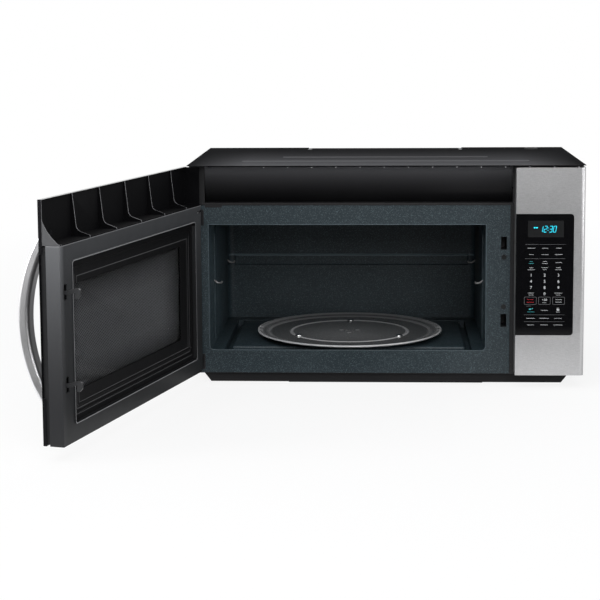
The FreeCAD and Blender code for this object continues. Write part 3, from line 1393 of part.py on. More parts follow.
bow = "((handle_span / 2) ^ 2 + handle_stand ^ 2) / (2 * handle_stand)"
bow_axis = (f"({outer} - handle_stand + {bow})", handle_mid)
handle_x = ("handle_u - handle_width / 2", "handle_u + handle_width / 2")
bow_ring = tube("x", bow_axis, handle_x, f"{bow} + handle_depth / 2", f"{bow} - handle_depth / 2")
bow_clip = block(handle_x, (f"{outer} - 2 * handle_stand", outer),
                 (f"{handle_mid} - handle_span", f"{handle_mid} + handle_span"))
handle_bar = rounded(overlap(bow_ring, bow_clip), "handle_round",
                     lambda middle, way: not near(middle.y, outer) and not near(middle.x, "handle_u"))
handle_holes = [rod("y", ("handle_u", z), (f"{outer} - screw_length", skin_back), "screw_radius + run_gap")
                for z in handle_screw_z]
keep("door_handle", hang(cut(handle_bar, *handle_holes)))
handle_screws = [join(rod("y", ("handle_u", z), (f"{outer} - screw_length + fit_gap", skin_back),
                          "screw_radius"),
                      rod("y", ("handle_u", z), (skin_back, f"{skin_back} + screw_head"), "screw_head_wide"))
                 for z in handle_screw_z]
keep("handle_screws", hang(group(*handle_screws)))

# Latch key: a sliding bar inside the free edge with two barbed hooks through the inner cover

key_x = (f"{latch_u} - hook_width / 2", f"{latch_u} + hook_width / 2")
key_back = f"({face_back} - key_gap)"
key_bar = block(key_x, ("fit_gap", key_back), ("upper_slot - latch_pitch - key_margin_top", key_top))
hooks = []
for index in range(2):
    arm_low = f"({slot_low(index)} + hook_drop + slot_spare)"
    tip = f"({inner} + hook_reach)"
    hook = new_body("latch_hook")
    root = f"({inner} + hook_root)"
    arm_high = f"({arm_low} + hook_height)"
    hook_shape = [(f"{key_back} - sheet", arm_low), (root, arm_low),
                  (f"{tip} - barb_length", f"{arm_low} + hook_lift"),
                  (f"{tip} - barb_length", f"{arm_low} - hook_drop"),
                  (f"{tip} - barb_length / 2", f"{arm_low} - hook_drop"),
                  (tip, arm_low), (tip, f"{arm_high} + hook_lift / 2"),
                  (f"{tip} - hook_root", f"{arm_high} + hook_lift"),
                  (f"{tip} - barb_length", f"{arm_high} + hook_lift"),
                  (root, arm_high), (f"{key_back} - sheet", arm_high)]
    pad(hook, draw(hook, "YZ_Plane", key_x[0], hook_shape), "hook_width")
    hooks.append(hook)
keep("latch_key", hang(join(key_bar, *hooks)))

# Every feature has to be sound before any file is written

doc.recompute()
failed = [item.Label for item in doc.Objects if "Invalid" in item.State or "Error" in item.State]
for label, item in kept_parts.items():
    if item.Shape.isNull() or not item.Shape.isValid() or not item.Shape.Solids:
        failed.append(label)
if failed:
    raise RuntimeError(f"unsound: {failed}")

os.makedirs("parts", exist_ok=True)
for label, item in kept_parts.items():
    item.Shape.exportStep(os.path.join("parts", f"{label}.step"))
    print(label, len(item.Shape.Solids), "solid", round(item.Shape.Volume / 1000, 1), "cm3")
print(len(kept_parts), "nodes")
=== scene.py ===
# %% [markdown]
# This scene dresses a microwave oven that hangs over a cooking range, with its door standing open.
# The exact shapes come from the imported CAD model, which is loaded first and never moved.
# Everything that is added here sits in the same frame, in metres, so no piece has to be fitted by eye.

# %% Load the frame
import functools
import json
import math

import bpy
from mathutils import Matrix, Vector


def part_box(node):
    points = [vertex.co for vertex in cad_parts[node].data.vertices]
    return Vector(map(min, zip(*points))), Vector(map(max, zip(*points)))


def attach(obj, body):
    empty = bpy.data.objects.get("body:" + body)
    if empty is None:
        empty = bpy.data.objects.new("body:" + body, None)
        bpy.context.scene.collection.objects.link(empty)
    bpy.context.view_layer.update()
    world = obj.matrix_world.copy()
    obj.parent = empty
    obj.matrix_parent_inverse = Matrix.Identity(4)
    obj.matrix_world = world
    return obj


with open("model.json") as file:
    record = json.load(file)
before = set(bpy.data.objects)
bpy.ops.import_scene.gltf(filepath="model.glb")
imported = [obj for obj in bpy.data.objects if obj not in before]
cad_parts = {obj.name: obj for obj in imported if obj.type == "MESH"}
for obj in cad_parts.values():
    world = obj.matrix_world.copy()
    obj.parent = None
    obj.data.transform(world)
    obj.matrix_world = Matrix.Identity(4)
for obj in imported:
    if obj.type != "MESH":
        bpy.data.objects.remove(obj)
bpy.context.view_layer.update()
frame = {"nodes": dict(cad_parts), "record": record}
nodes = frame["nodes"]

# %% [markdown]
# The door hangs on a vertical hinge line. Its own directions are turned by the opening angle,
# and the grain on its steel and the holes in its screen have to follow those directions.
# The angle and the line come from the joint in the record, so the looks agree with the motion.

# %% The door's own directions
hinge = next(joint for joint in frame["record"]["behaviour"]["joints"] if joint["name"] == "door_hinge")
door_turn = math.radians(max(hinge["range_deg"]))
hinge_line = Vector((hinge["pos_m"][0], hinge["pos_m"][1], 0.0))
along_door = Vector((math.cos(door_turn), -math.sin(door_turn), 0.0))
print("door opened by", round(math.degrees(door_turn), 1), "degrees about",
      [round(value, 4) for value in hinge_line])

# %% [markdown]
# The camera looks slightly down at the front, a little from the middle, through a long lens.
# Its place was solved from the corners of the case, the oven mouth and the open door.
# A rotation could be typed as Euler angles, but three plain direction vectors are easier to check.

# %% Camera
CAMERA_PLACE = Vector((-0.0034, -3.415, 0.7062))
CAMERA_YAW = math.radians(-2.88)
CAMERA_PITCH = math.radians(7.061)
CAMERA_ROLL = math.radians(-0.367)
LENS_LENGTH = 100.3
SENSOR_WIDTH = 36.0
LENS_SHIFT = -0.12

forward = Vector((math.sin(CAMERA_YAW) * math.cos(CAMERA_PITCH),
                  math.cos(CAMERA_YAW) * math.cos(CAMERA_PITCH),
                  -math.sin(CAMERA_PITCH)))
level_right = Vector((math.cos(CAMERA_YAW), -math.sin(CAMERA_YAW), 0.0))
level_up = level_right.cross(forward)
right = level_right * math.cos(CAMERA_ROLL) + level_up * math.sin(CAMERA_ROLL)
up = level_up * math.cos(CAMERA_ROLL) - level_right * math.sin(CAMERA_ROLL)

lens = bpy.data.cameras.new("front_camera")
lens.lens = LENS_LENGTH
lens.sensor_width = SENSOR_WIDTH
lens.shift_y = LENS_SHIFT
camera = bpy.data.objects.new("front_camera", lens)
camera.matrix_world = Matrix((
    (right.x, up.x, -forward.x, CAMERA_PLACE.x),
    (right.y, up.y, -forward.y, CAMERA_PLACE.y),
    (right.z, up.z, -forward.z, CAMERA_PLACE.z),
    (0.0, 0.0, 0.0, 1.0)))
bpy.context.collection.objects.link(camera)
bpy.context.scene.camera = camera
bpy.context.scene.view_settings.view_transform = "Standard"
print("camera lens", lens.lens, "mm, looking", [round(value, 3) for value in forward])

# %% [markdown]
# The studio and the finishes are trees of shader nodes. A few small helpers build them: one makes a node
# and fills its sockets, and the others are the sums, ranges and mixes that nearly every tree needs.
# A socket takes a plain number, a colour or the output of another node, and the helpers accept all three.
# Every socket knows the tree that it belongs to, so a helper needs no more than the sockets it works on.

# %% Helpers for shader trees
def feed(socket, value):
    """Give a socket a number, a colour or the output of another node."""
    if isinstance(value, bpy.types.NodeSocket):
        socket.id_data.links.new(value, socket)
    elif socket.type == "RGBA":
        socket.default_value = (*value, 1.0)
    else:
        socket.default_value = value


def feed_all(node, **values):
    """Fill sockets of a node by name, with an underscore for each space in the name."""
    for label, value in values.items():
        feed(node.inputs[label.replace("_", " ")], value)


def add_node(tree, kind, **values):
    """A new shader node with some of its sockets filled."""
    node = tree.nodes.new("ShaderNode" + kind)
    feed_all(node, **values)
    return node


def add_sum(operation, first, second, clamp=False):
    """One sum of a socket and a number, or of two sockets."""
    known = first if isinstance(first, bpy.types.NodeSocket) else second
    node = add_node(known.id_data, "Math")
    node.operation = operation
    node.use_clamp = clamp
    feed(node.inputs[0], first)
    feed(node.inputs[1], second)
    return node.outputs[0]


times = functools.partial(add_sum, "MULTIPLY")
plus = functools.partial(add_sum, "ADD")
minus = functools.partial(add_sum, "SUBTRACT")
power = functools.partial(add_sum, "POWER")


def add_range(value, low, high, new_low=0.0, new_high=1.0):
    """Stretch part of a value's range to new limits, and hold it there."""
    return add_node(value.id_data, "MapRange", Value=value, From_Min=low, From_Max=high, To_Min=new_low,
                    To_Max=new_high).outputs[0]


def add_mix(factor, first, second):
    """Blend two colours by a factor."""
    mix = add_node(factor.id_data, "Mix")
    mix.data_type = "RGBA"
    feed(mix.inputs["Factor"], factor)
    feed(mix.inputs[6], first)
    feed(mix.inputs[7], second)
    return mix.outputs[2]


def add_ramp(value, low, high, tones, tint=(1.0, 1.0, 1.0)):
    """A tinted tone that follows a value; each tone stands at a share of the way from low to high."""
    ramp = add_node(value.id_data, "ValToRGB", Fac=add_range(value, low, high))
    stops = ramp.color_ramp.elements
    for index, (share, tone) in enumerate(tones):
        stop = stops[index] if index < 2 else stops.new(1.0)
        stop.position = share
        stop.color = (*[part * tone for part in tint], 1.0)
    return ramp.outputs["Color"]


def axes(place):
    """The X, Y and Z sockets of a place."""
    return add_node(place.id_data, "SeparateXYZ", Vector=place).outputs


def blend_shaders(share, first, second):
    """Two shaders, mixed by a share."""
    mix = add_node(share.id_data, "MixShader", Fac=share)
    feed(mix.inputs[1], first.outputs[0])
    feed(mix.inputs[2], second.outputs[0])
    return mix.outputs[0]


def plain_floats(box):
    """The two corners of a box as plain numbers."""
    return [[float(value) for value in corner] for corner in box]


print("helpers for shader trees ready")

# %% [markdown]
# A product studio is a white room with a few large soft lamps. The world is plain white wherever it is
# seen directly, in a reflection or through glass, and a weaker grey for the light that it sheds.
# The Light Path node tells the two uses apart, so a white background costs no extra light on the object.
# The floor shows shadows near the oven and fades to the same white further off, so no horizon line shows.

# %% World and floor
ROOM_COLOUR = (0.93, 0.96, 1.0)
ROOM_STRENGTH = 0.45
WHITE = (1.0, 1.0, 1.0)
FLOOR_REACH = 14.0
FLOOR_FADE = (0.7, 2.6)
FLOOR_GLOW = (0.86, 1.0)


def seen_directly(tree):
    """A value that is 1 for camera, mirror and see-through rays, and 0 for rays that only carry light."""
    path = add_node(tree, "LightPath").outputs
    total = path["Is Camera Ray"]
    for kind in ("Is Glossy Ray", "Is Transmission Ray"):
        total = plus(total, path[kind], clamp=True)
    return total


def stage_plane(name, corners):
    """A flat four-cornered sheet of the studio, which is not part of the object."""
    mesh = bpy.data.meshes.new(name)
    mesh.from_pydata(corners, [], [(0, 1, 2, 3)])
    sheet = bpy.data.objects.new(name, mesh)
    bpy.context.collection.objects.link(sheet)
    return sheet


def stage_paint(sheet, name):
    """A new material on a sheet of the studio; gives its tree."""
    paint = bpy.data.materials.new(name)
    paint.use_nodes = True
    sheet.data.materials.append(paint)
    return paint.node_tree


world = bpy.data.worlds.new("white_studio")
bpy.context.scene.world = world
world.use_nodes = True
tree = world.node_tree
tree.nodes.clear()
room = add_node(tree, "Background", Color=ROOM_COLOUR, Strength=ROOM_STRENGTH)
backdrop = add_node(tree, "Background", Color=WHITE, Strength=1.0)
add_node(tree, "OutputWorld", Surface=blend_shaders(seen_directly(tree), room, backdrop))

floor = stage_plane("studio_floor", [(-FLOOR_REACH, -FLOOR_REACH, 0.0), (FLOOR_REACH, -FLOOR_REACH, 0.0),
                                     (FLOOR_REACH, FLOOR_REACH, 0.0), (-FLOOR_REACH, FLOOR_REACH, 0.0)])
tree = stage_paint(floor, "floor_white")
paint = tree.nodes["Principled BSDF"]
feed_all(paint, Base_Color=(0.82, 0.82, 0.82), Roughness=0.8, Specular_IOR_Level=0.1)
distance = add_node(tree, "VectorMath", Vector=add_node(tree, "TexCoord").outputs["Object"])
distance.operation = "LENGTH"
share = times(seen_directly(tree), add_range(distance.outputs["Value"], *FLOOR_FADE, *FLOOR_GLOW))
glow = add_node(tree, "Emission", Strength=1.0)
feed_all(tree.nodes["Material Output"], Surface=blend_shaders(share, paint, glow))
print("floor reaches", FLOOR_REACH, "m each way")

# %% [markdown]
# Gloss black looks black only where it mirrors something dark, and steel grey only beside a grey wall.
# A photographer lays dark cards on the floor, stands a grey wall behind the camera, and lets a white card
# lighten the foot of the control panel. The cards' tones fade, so that the steel and the curved hood show
# soft gradients instead of lines. They show only in reflections: they are hidden from the camera and
# take no light from the object.

# %% Cards and grey wall
CARD_LIFT = 0.002
FLOOR_CARDS = {
    "dark_card": ((-3.0, 3.0), ((-0.9, 0.03), (-3.2, 0.03), (-4.8, 0.35), (-9.0, 0.35))),
    "door_card": ((-0.36, 0.12), ((-0.26, 0.05), (-0.9, 0.03))),
    "panel_card": ((0.12, 1.4), ((-0.26, 1.3), (-0.55, 1.2), (-0.9, 0.03))),
}
WALL_PLACE = -7.0
WALL_REACH = 4.0
WALL_TONES = ((0.3, 0.25), (1.0, 0.16), (1.9, 0.5), (5.0, 0.8))


def fade_card(name, corners, axis, tones):
    """A sheet that shows only in reflections, its tone given at places along one axis."""
    sheet = stage_plane(name, corners)
    sheet.visible_camera = False
    sheet.visible_diffuse = False
    sheet.visible_shadow = False
    tree = stage_paint(sheet, name + "_fade")
    tree.nodes.clear()
    start, end = (tones[0][0], tones[-1][0])
    spot = axes(add_node(tree, "TexCoord").outputs["Object"])[axis]
    shares = [((place - start) / (end - start), tone) for place, tone in tones]
    glow = add_node(tree, "Emission", Color=add_ramp(spot, start, end, shares))
    add_node(tree, "OutputMaterial", Surface=glow.outputs[0])


for name, ((left, far_right), tones) in FLOOR_CARDS.items():
    near, far = (tones[0][0], tones[-1][0])
    fade_card(name, [(left, far, CARD_LIFT), (far_right, far, CARD_LIFT), (far_right, near, CARD_LIFT),
                     (left, near, CARD_LIFT)], "Y", tones)
wall_low, wall_high = (WALL_TONES[0][0], WALL_TONES[-1][0])
fade_card("grey_wall", [(-WALL_REACH, WALL_PLACE, wall_low), (WALL_REACH, WALL_PLACE, wall_low),
                        (WALL_REACH, WALL_PLACE, wall_high), (-WALL_REACH, WALL_PLACE, wall_high)],
          "Z", WALL_TONES)
print("cards on the floor:", sorted(FLOOR_CARDS), "and a grey wall at", WALL_PLACE, "m")

# %% [markdown]
# Large rectangular lamps give the soft, wide highlights of a product picture. The strongest stand above in
# front and on the left, one near the camera fills the faces that look at it, and those on the right and
# behind draw the edges. Their power is set so that a mid grey renders as a mid grey.

# %% Soft lamps
TARGET = Vector((-0.05, -0.15, 0.22))
SOFT_LAMPS = {
    "key_lamp": ((-0.5, -2.4, 2.7), 2.6, 1.4, 46.0),
    "front_lamp": ((0.5, -3.9, 1.5), 1.8, 1.0, 34.0),
    "left_lamp": ((-3.0, -1.6, 1.3), 1.2, 1.8, 48.0),
    "right_lamp": ((2.9, -1.9, 0.85), 1.1, 1.7, 30.0),
    "back_lamp": ((0.3, 2.6, 2.6), 2.4, 1.2, 16.0),
}
for name, (place, width, height, watts) in SOFT_LAMPS.items():
    light = bpy.data.lights.new(name, "AREA")
    light.shape = "RECTANGLE"
    light.size = width
    light.size_y = height
    light.energy = watts
    lamp = bpy.data.objects.new(name, light)
    lamp.location = place
    lamp.rotation_euler = (TARGET - Vector(place)).to_track_quat("-Z", "Y").to_euler()
    bpy.context.collection.objects.link(lamp)
print("lamps:", sorted(SOFT_LAMPS))

# %% [markdown]
# Many finishes share a few effects: brushed lines, enamel flecks, moulded grain and the marks of use.
# Each effect is built once as a shader node group with named inputs, like a small tool of its own.
# A material then places the group and gives it its own numbers, so one change reaches every piece.

# %% Helpers for shared effects
def new_effect(name, outputs, **numbers):
    """An empty shader group with a vector input, named numbers and outputs: its tree and both ends."""
    tree = bpy.data.node_groups.new(name, "ShaderNodeTree")
    tree.interface.new_socket(name="Vector", in_out="INPUT", socket_type="NodeSocketVector")
    for label, number in numbers.items():
        socket = tree.interface.new_socket(name=label, in_out="INPUT", socket_type="NodeSocketFloat")
        socket.default_value = number
    for label in outputs:
        tree.interface.new_socket(name=label, in_out="OUTPUT", socket_type="NodeSocketFloat")
    return tree, tree.nodes.new("NodeGroupInput").outputs, tree.nodes.new("NodeGroupOutput")


def add_noise(vector, scale, detail, rough):
    """A noise texture's value."""
    noise = add_node(vector.id_data, "TexNoise", Vector=vector, Scale=scale, Detail=detail, Roughness=rough)
    return noise.outputs[0]


def add_blend(first, second, share):
    """Two values added, the first by its share and the second by the rest."""
    return plus(times(first, share), times(second, 1.0 - share))


print("effect helpers ready")

# %% [markdown]
# Brushed steel is scratched by a moving belt, so its marks are long one way and fine the other.
# Stretching one noise far along the grain gives the long lines; a second, rounder noise breaks them up.
# The tone goes to colour and roughness, and the height to a faint bump.

# %% Effect: brushed lines
brushed, given, result = new_effect("brushed_lines", ("Tone", "Height"), Lines=900.0, Stretch=0.02)
stretch = add_node(brushed, "CombineXYZ", X=given["Stretch"], Y=1.0, Z=1.0)
line_space = add_node(brushed, "VectorMath", Vector=given["Vector"])
line_space.operation = "MULTIPLY"
feed(line_space.inputs[1], stretch.outputs[0])
fine_lines = add_noise(line_space.outputs[0], given["Lines"], 3.0, 0.6)
broken = add_noise(given["Vector"], 620.0, 2.0, 0.5)
tone = add_range(add_blend(fine_lines, broken, 0.55), 0.32, 0.68)
feed_all(result, Tone=tone, Height=fine_lines)
print("effect", brushed.name)

# %% [markdown]
# Oven enamel is sprayed on as a slip with flecks in it and fired. Close up it is a dark ground with
# scattered pale specks and a slightly pebbled gloss. Cells of a Voronoi texture, each with its own
# random value, give specks of even size, which plain noise does not.

# %% Effect: enamel flecks
flecked, given, result = new_effect("enamel_flecks", ("Fleck", "Cloud", "Height"), Scale=700.0)
cells = add_node(flecked, "TexVoronoi", Vector=given["Vector"], Scale=given["Scale"])
cells.feature = "F1"
chance = add_node(flecked, "SeparateColor", Color=cells.outputs["Color"]).outputs[0]
fleck = times(add_range(chance, 0.3, 1.0), add_range(cells.outputs["Distance"], 0.15, 0.5, 1.0, 0.0))
feed_all(result, Fleck=fleck, Cloud=add_noise(given["Vector"], 9.0, 3.0, 0.5),
         Height=add_noise(given["Vector"], 320.0, 2.0, 0.5))
print("effect", flecked.name)

# %% [markdown]
# Moulded plastic and painted sheet carry a fine texture from the mould or the spray.
# A small-scale noise makes the grain, and a broad one keeps large faces from being perfectly even.
# The same group serves both, because only the scale and the strength differ.

# %% Effect: fine grain
grained, given, result = new_effect("fine_grain", ("Tone", "Height"), Scale=1400.0)
grain_noise = add_noise(given["Vector"], given["Scale"], 3.0, 0.55)
grain_cloud = add_noise(given["Vector"], 6.0, 2.0, 0.5)
tone = add_range(add_blend(grain_noise, grain_cloud, 0.6), 0.3, 0.7)
feed_all(result, Tone=tone, Height=grain_noise)
print("effect", grained.name)

# %% [markdown]
# A kitchen leaves its marks: wiped smears on smooth faces and dust on those that face up.
# Smears change the gloss more than the colour. Dust gathers by gravity, so it follows the upward part
# of the surface's normal, broken up with noise.

# %% Effect: marks of use
marked, given, result = new_effect("marks_of_use", ("Smear", "Dust"), Scale=14.0)
smear = add_range(add_noise(given["Vector"], given["Scale"], 5.0, 0.65), 0.42, 0.7)
normal = add_node(marked, "NewGeometry").outputs["Normal"]
facing_up = add_range(axes(normal)["Z"], 0.5, 1.0)
dust_noise = add_range(add_noise(given["Vector"], 90.0, 4.0, 0.7), 0.35, 0.75)
feed_all(result, Smear=smear, Dust=times(facing_up, dust_noise))
print("effect", marked.name)

# %% [markdown]
# Every finish starts alike: a Principled shader, and a place on the piece to measure its texture from.
# Object coordinates are in metres here, so a scale of 1000 means features about a millimetre across.
# Pieces on the door turn their coordinates back by the opening angle, so that grain runs along the door.

# %% Helpers for finishes
SHARP = 0.0002
FINE_BUMP = 0.0002
DUST = (0.12, 0.118, 0.115)
finishes = {}


def start_finish(name, turned=False):
    """A new finish: its shader, and the socket that gives a place on the piece."""
    finishes[name] = bpy.data.materials.new(name)
    finishes[name].use_nodes = True
    tree = finishes[name].node_tree
    place = add_node(tree, "TexCoord").outputs["Object"]
    if turned:
        place = add_node(tree, "Mapping", Vector=place, Rotation=(0.0, 0.0, door_turn)).outputs["Vector"]
    return tree.nodes["Principled BSDF"], place


def place_effect(effect, place, **numbers):
    """Put a shared effect into a material and give it this material's numbers."""
    node = place.id_data.nodes.new("ShaderNodeGroup")
    node.node_tree = effect
    feed_all(node, Vector=place, **numbers)
    return node.outputs


def add_bump(shader, height, strength, distance=FINE_BUMP):
    """Let a height change the way a surface catches the light."""
    bump = add_node(shader.id_data, "Bump", Strength=strength, Distance=distance, Height=height)
    feed_all(shader, Normal=bump.outputs[0])


def smeared(rough, marks, share):
    """A roughness raised by the smears among the marks of use."""
    return plus(rough, times(marks["Smear"], share))


def spread(value, low, high):
    """A value from 0 to 1, spread between two limits."""
    return add_range(value, 0.0, 1.0, low, high)


def within(value, low, high, soft):
    """A mask that is 1 where a value lies between two limits and fades over a soft edge."""
    rise = add_range(value, low - soft, low + soft)
    fall = add_range(value, high - soft, high + soft, 1.0, 0.0)
    return times(rise, fall)


def add_reach(first, second):
    """The distance given by two offsets at right angles."""
    squares = [times(offset, offset) for offset in (first, second)]
    return power(plus(*squares), 0.5)


def door_sockets(place):
    """Sockets for the distance from the hinge line along the door, and for the height."""
    split = axes(place)
    return minus(split["X"], hinge_line.dot(along_door)), split["Z"]


print("finish helpers ready")

# %% [markdown]
# The control panel, the door's front and the handle are brushed stainless steel. A mirror with a grey tint
# would look like chrome, so the roughness follows the brushed lines and the colour varies with them.
# The door needs its own copy, with the grain turned to run along the open door. Its skin is folded back at
# the free edge, and the fold is painted black: a mask by the distance from the hinge puts the paint there.
# The handle's screws are as pale as the handle, and their heads, on the door's inner side, are black.

# %% Finish: stainless steel
EDGE_PAINT_START = 0.6123
SCREW_HEAD_START = -0.3240
BLACK_PAINT = (0.006, 0.006, 0.007)
STEEL_DUST = (0.5, 0.5, 0.49)


def edge_paint(place):
    """The folded free edge of the door's skin."""
    return add_range(door_sockets(place)[0], EDGE_PAINT_START, EDGE_PAINT_START + SHARP)


def head_paint(place):
    """The heads of the handle's screws, told apart by the depth through the door."""
    return add_range(axes(place)["Y"], SCREW_HEAD_START, SCREW_HEAD_START + SHARP)


def stainless(name, turned, tones, roughness, bump, painted=None):
    """Brushed stainless steel, its grain level and running along the piece, black where it is painted."""
    shader, place = start_finish(name, turned)
    lines = place_effect(brushed, place, Lines=850.0, Stretch=0.12)
    marks = place_effect(marked, place, Scale=11.0)
    tone = add_mix(lines["Tone"], *[(value, value, 1.015 * value) for value in tones])
    colour = add_mix(marks["Dust"], tone, STEEL_DUST)
    metal = 1.0
    if painted:
        paint = painted(place)
        colour = add_mix(paint, colour, BLACK_PAINT)
        metal = minus(1.0, paint)
        feed_all(shader, Specular_IOR_Level=0.1)
    rough = smeared(spread(lines["Tone"], *roughness), marks, 0.06)
    feed_all(shader, Base_Color=colour, Roughness=rough, Metallic=metal)
    add_bump(shader, lines["Height"], bump)


stainless("stainless", False, (0.36, 0.47), (0.34, 0.46), 0.12)
stainless("stainless_door", True, (0.36, 0.47), (0.34, 0.46), 0.12, edge_paint)
stainless("handle_satin", True, (0.88, 0.93), (0.27, 0.33), 0.02)
stainless("handle_screw", True, (0.88, 0.93), (0.27, 0.33), 0.02, head_paint)
print("made", sorted(finishes))

# %% [markdown]
# The front plate and the oven's inside are steel under fired enamel, blue-grey with pale flecks.
# The plate and the inside are one enamel with grounds of their own: the inside's ground is set apart as
# painted light, because the two take the light of the studio differently. A slight change of ground over a
# hand's breadth stands for the uneven spray. The upper edge of the band across the back wall and the rolled
# edge of the mouth carry painted highlights.

# %% Finish: enamel
BAND_EDGE = (0.1985, 0.2025)
BAND_SOFT = 0.0006
BACK_WALL = (0.187, 0.188)
FLECK_SCALE = 620.0


def band_painted_highlight(place):
    """The upper edge of the band that is pressed into the back wall, where a highlight is painted."""
    split = axes(place)
    return times(within(split["Z"], *BAND_EDGE, BAND_SOFT), add_range(split["Y"], *BACK_WALL))


def enamel(name, ground, ground_shade, fleck, painted_highlight=None):
    """Fired enamel: a clouded ground, flecks over it and a pebbled gloss, and a painted highlight where a
    mask is given.
    """
    shader, place = start_finish(name)
    flecks = place_effect(flecked, place, Scale=FLECK_SCALE)
    marks = place_effect(marked, place, Scale=16.0)
    clouded = add_mix(flecks["Cloud"], ground, ground_shade)
    # Painted highlight: the fleck colour is laid over the ground where the mask is.
    if painted_highlight:
        clouded = add_mix(painted_highlight(place), clouded, fleck)
    rough = smeared(add_range(flecks["Height"], 0.3, 0.7, 0.36, 0.5), marks, 0.08)
    feed_all(shader, Base_Color=add_mix(flecks["Fleck"], clouded, fleck), Roughness=rough,
             Specular_IOR_Level=0.3)
    add_bump(shader, flecks["Height"], 0.2, 0.0003)


enamel("blue_enamel", (0.011, 0.019, 0.0235), (0.0165, 0.0270, 0.0325), (0.108, 0.145, 0.164))
# The cavity's ground is lighter than the plate's: painted light, for the studio light that reaches into the
# cavity less.
enamel("dark_enamel", (0.0155, 0.0262, 0.0325), (0.0215, 0.0350, 0.0425), (0.106, 0.145, 0.165), band_painted_highlight)
# The rolled edge's enamel is paler than the plate's: a painted highlight along the roll.
enamel("roll_painted_highlight_enamel", (0.038, 0.055, 0.064), (0.048, 0.068, 0.080), (0.16, 0.20, 0.22))
print("made enamel grounds for the plate, the cavity and the rolled edge")

# %% [markdown]
# Most other surfaces are plain: painted sheet, moulded plastic, plated steel, rubber.
# A table keeps them side by side, one row for each finish: dark and light colour, least and most roughness,
# metal, gloss, grain scale, bump strength, and how much dust settles. One function reads the rows.

# %% Finish: plain painted, moulded and plated surfaces
PLAIN_FINISHES = {
    "black_case": ((0.013, 0.013, 0.014), (0.021, 0.021, 0.022), 0.42, 0.55, 0.0, 0.1, 1500.0, 0.15, 0.1),
    "hook_grey": ((0.18, 0.18, 0.18), (0.28, 0.28, 0.28), 0.3, 0.42, 1.0, 0.5, 900.0, 0.08, 0.05),
    "black_plastic": ((0.007, 0.007, 0.008), (0.012, 0.012, 0.013), 0.36, 0.5, 0.0, 0.25, 1300.0, 0.12, 0.1),
    "latch_grey": ((0.024, 0.0245, 0.026), (0.034, 0.0345, 0.036), 0.3, 0.4, 0.0, 0.4, 1500.0, 0.08, 0.05),
    "plated_steel": ((0.46, 0.45, 0.42), (0.62, 0.61, 0.58), 0.26, 0.4, 1.0, 0.5, 900.0, 0.08, 0.1),
    "dark_plating": ((0.030, 0.030, 0.032), (0.055, 0.055, 0.058), 0.3, 0.42, 1.0, 0.5, 900.0, 0.08, 0.05),
    "screw_black": ((0.004, 0.004, 0.0045), (0.007, 0.007, 0.0075), 0.3, 0.42, 0.0, 0.3, 900.0, 0.08, 0.0),
    "mica": ((0.030, 0.032, 0.031), (0.060, 0.060, 0.056), 0.4, 0.6, 0.0, 0.4, 260.0, 0.15, 0.0),
    "white_plastic": ((0.66, 0.66, 0.64), (0.74, 0.74, 0.72), 0.38, 0.5, 0.0, 0.5, 1300.0, 0.1, 0.1),
    "copper_iron": ((0.20, 0.085, 0.04), (0.34, 0.15, 0.07), 0.38, 0.55, 0.6, 0.5, 500.0, 0.2, 0.1),
    "rubber": ((0.010, 0.010, 0.010), (0.020, 0.020, 0.020), 0.6, 0.78, 0.0, 0.4, 900.0, 0.2, 0.2),
    "charcoal": ((0.006, 0.006, 0.006), (0.030, 0.030, 0.030), 0.75, 0.95, 0.0, 0.3, 420.0, 0.6, 0.1),
    "board": ((0.008, 0.060, 0.028), (0.014, 0.095, 0.045), 0.35, 0.5, 0.0, 0.5, 700.0, 0.1, 0.1),
}


def plain(name, dark, light, rough_low, rough_high, metal, gloss, scale, bump, dust):
    """A plain surface with its grain, its smears and the dust on its upper faces."""
    shader, place = start_finish(name)
    grain = place_effect(grained, place, Scale=scale)
    marks = place_effect(marked, place, Scale=13.0)
    tone = add_mix(grain["Tone"], dark, light)
    settled = times(marks["Dust"], dust)
    rough = smeared(spread(grain["Tone"], rough_low, rough_high), marks, 0.07)
    feed_all(shader, Base_Color=add_mix(settled, tone, DUST), Roughness=rough, Metallic=metal,
             Specular_IOR_Level=gloss)
    add_bump(shader, grain["Height"], bump)


for name, numbers in PLAIN_FINISHES.items():
    plain(name, *numbers)
print("made", len(PLAIN_FINISHES), "plain finishes")

# %% [markdown]
# The top cover is painted sheet that nobody sees once the oven hangs under a cabinet, so the paint is thin
# and flat. Its tone fades from front to back: painted light, standing for the light that flat paint takes
# there.
# The bars pressed up from it and the tips of the ribs in the vent slot under it are painted paler, as
# painted highlights. Masks by depth, by width and by height tell these apart, so the cover stays one piece.

# %% Finish: top cover
FRONT_FADE = 0.40
FADE_POWER = 1.5
SIDE_MARGIN = 0.06
SIDE_SOFT = 0.05
FACE_SOFT = 0.0006
PAINTED_LIGHT_TONE = (0.105, 0.105, 0.110)
BAR_PAINTED_HIGHLIGHT = 0.18
COVER_BAR = 0.001
COVER_SHEET = 0.004
PAINTED_HIGHLIGHT_TONE = (0.30, 0.30, 0.31)
cover_low, cover_high = plain_floats(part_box("top_cover"))
bar_top = cover_high[2]
sheet_top = bar_top - COVER_BAR
rib_top = bar_top - COVER_SHEET
shader, place = start_finish("top_black")
split = axes(place)
grain = place_effect(grained, place, Scale=1500.0)
marks = place_effect(marked, place, Scale=13.0)
tone = add_mix(grain["Tone"], (0.012, 0.012, 0.0125), (0.019, 0.019, 0.020))
# Painted light: the top face is lighter at the front, fading towards the back and the sides.
lit = add_range(split["Y"], cover_low[1], cover_low[1] + FRONT_FADE, 1.0, 0.0)
lit = times(power(lit, FADE_POWER),
            within(split["X"], cover_low[0] + SIDE_MARGIN, cover_high[0] - SIDE_MARGIN, SIDE_SOFT))
lit = times(lit, add_range(split["Z"], sheet_top - FACE_SOFT, sheet_top - SHARP))
tone = add_mix(lit, tone, PAINTED_LIGHT_TONE)
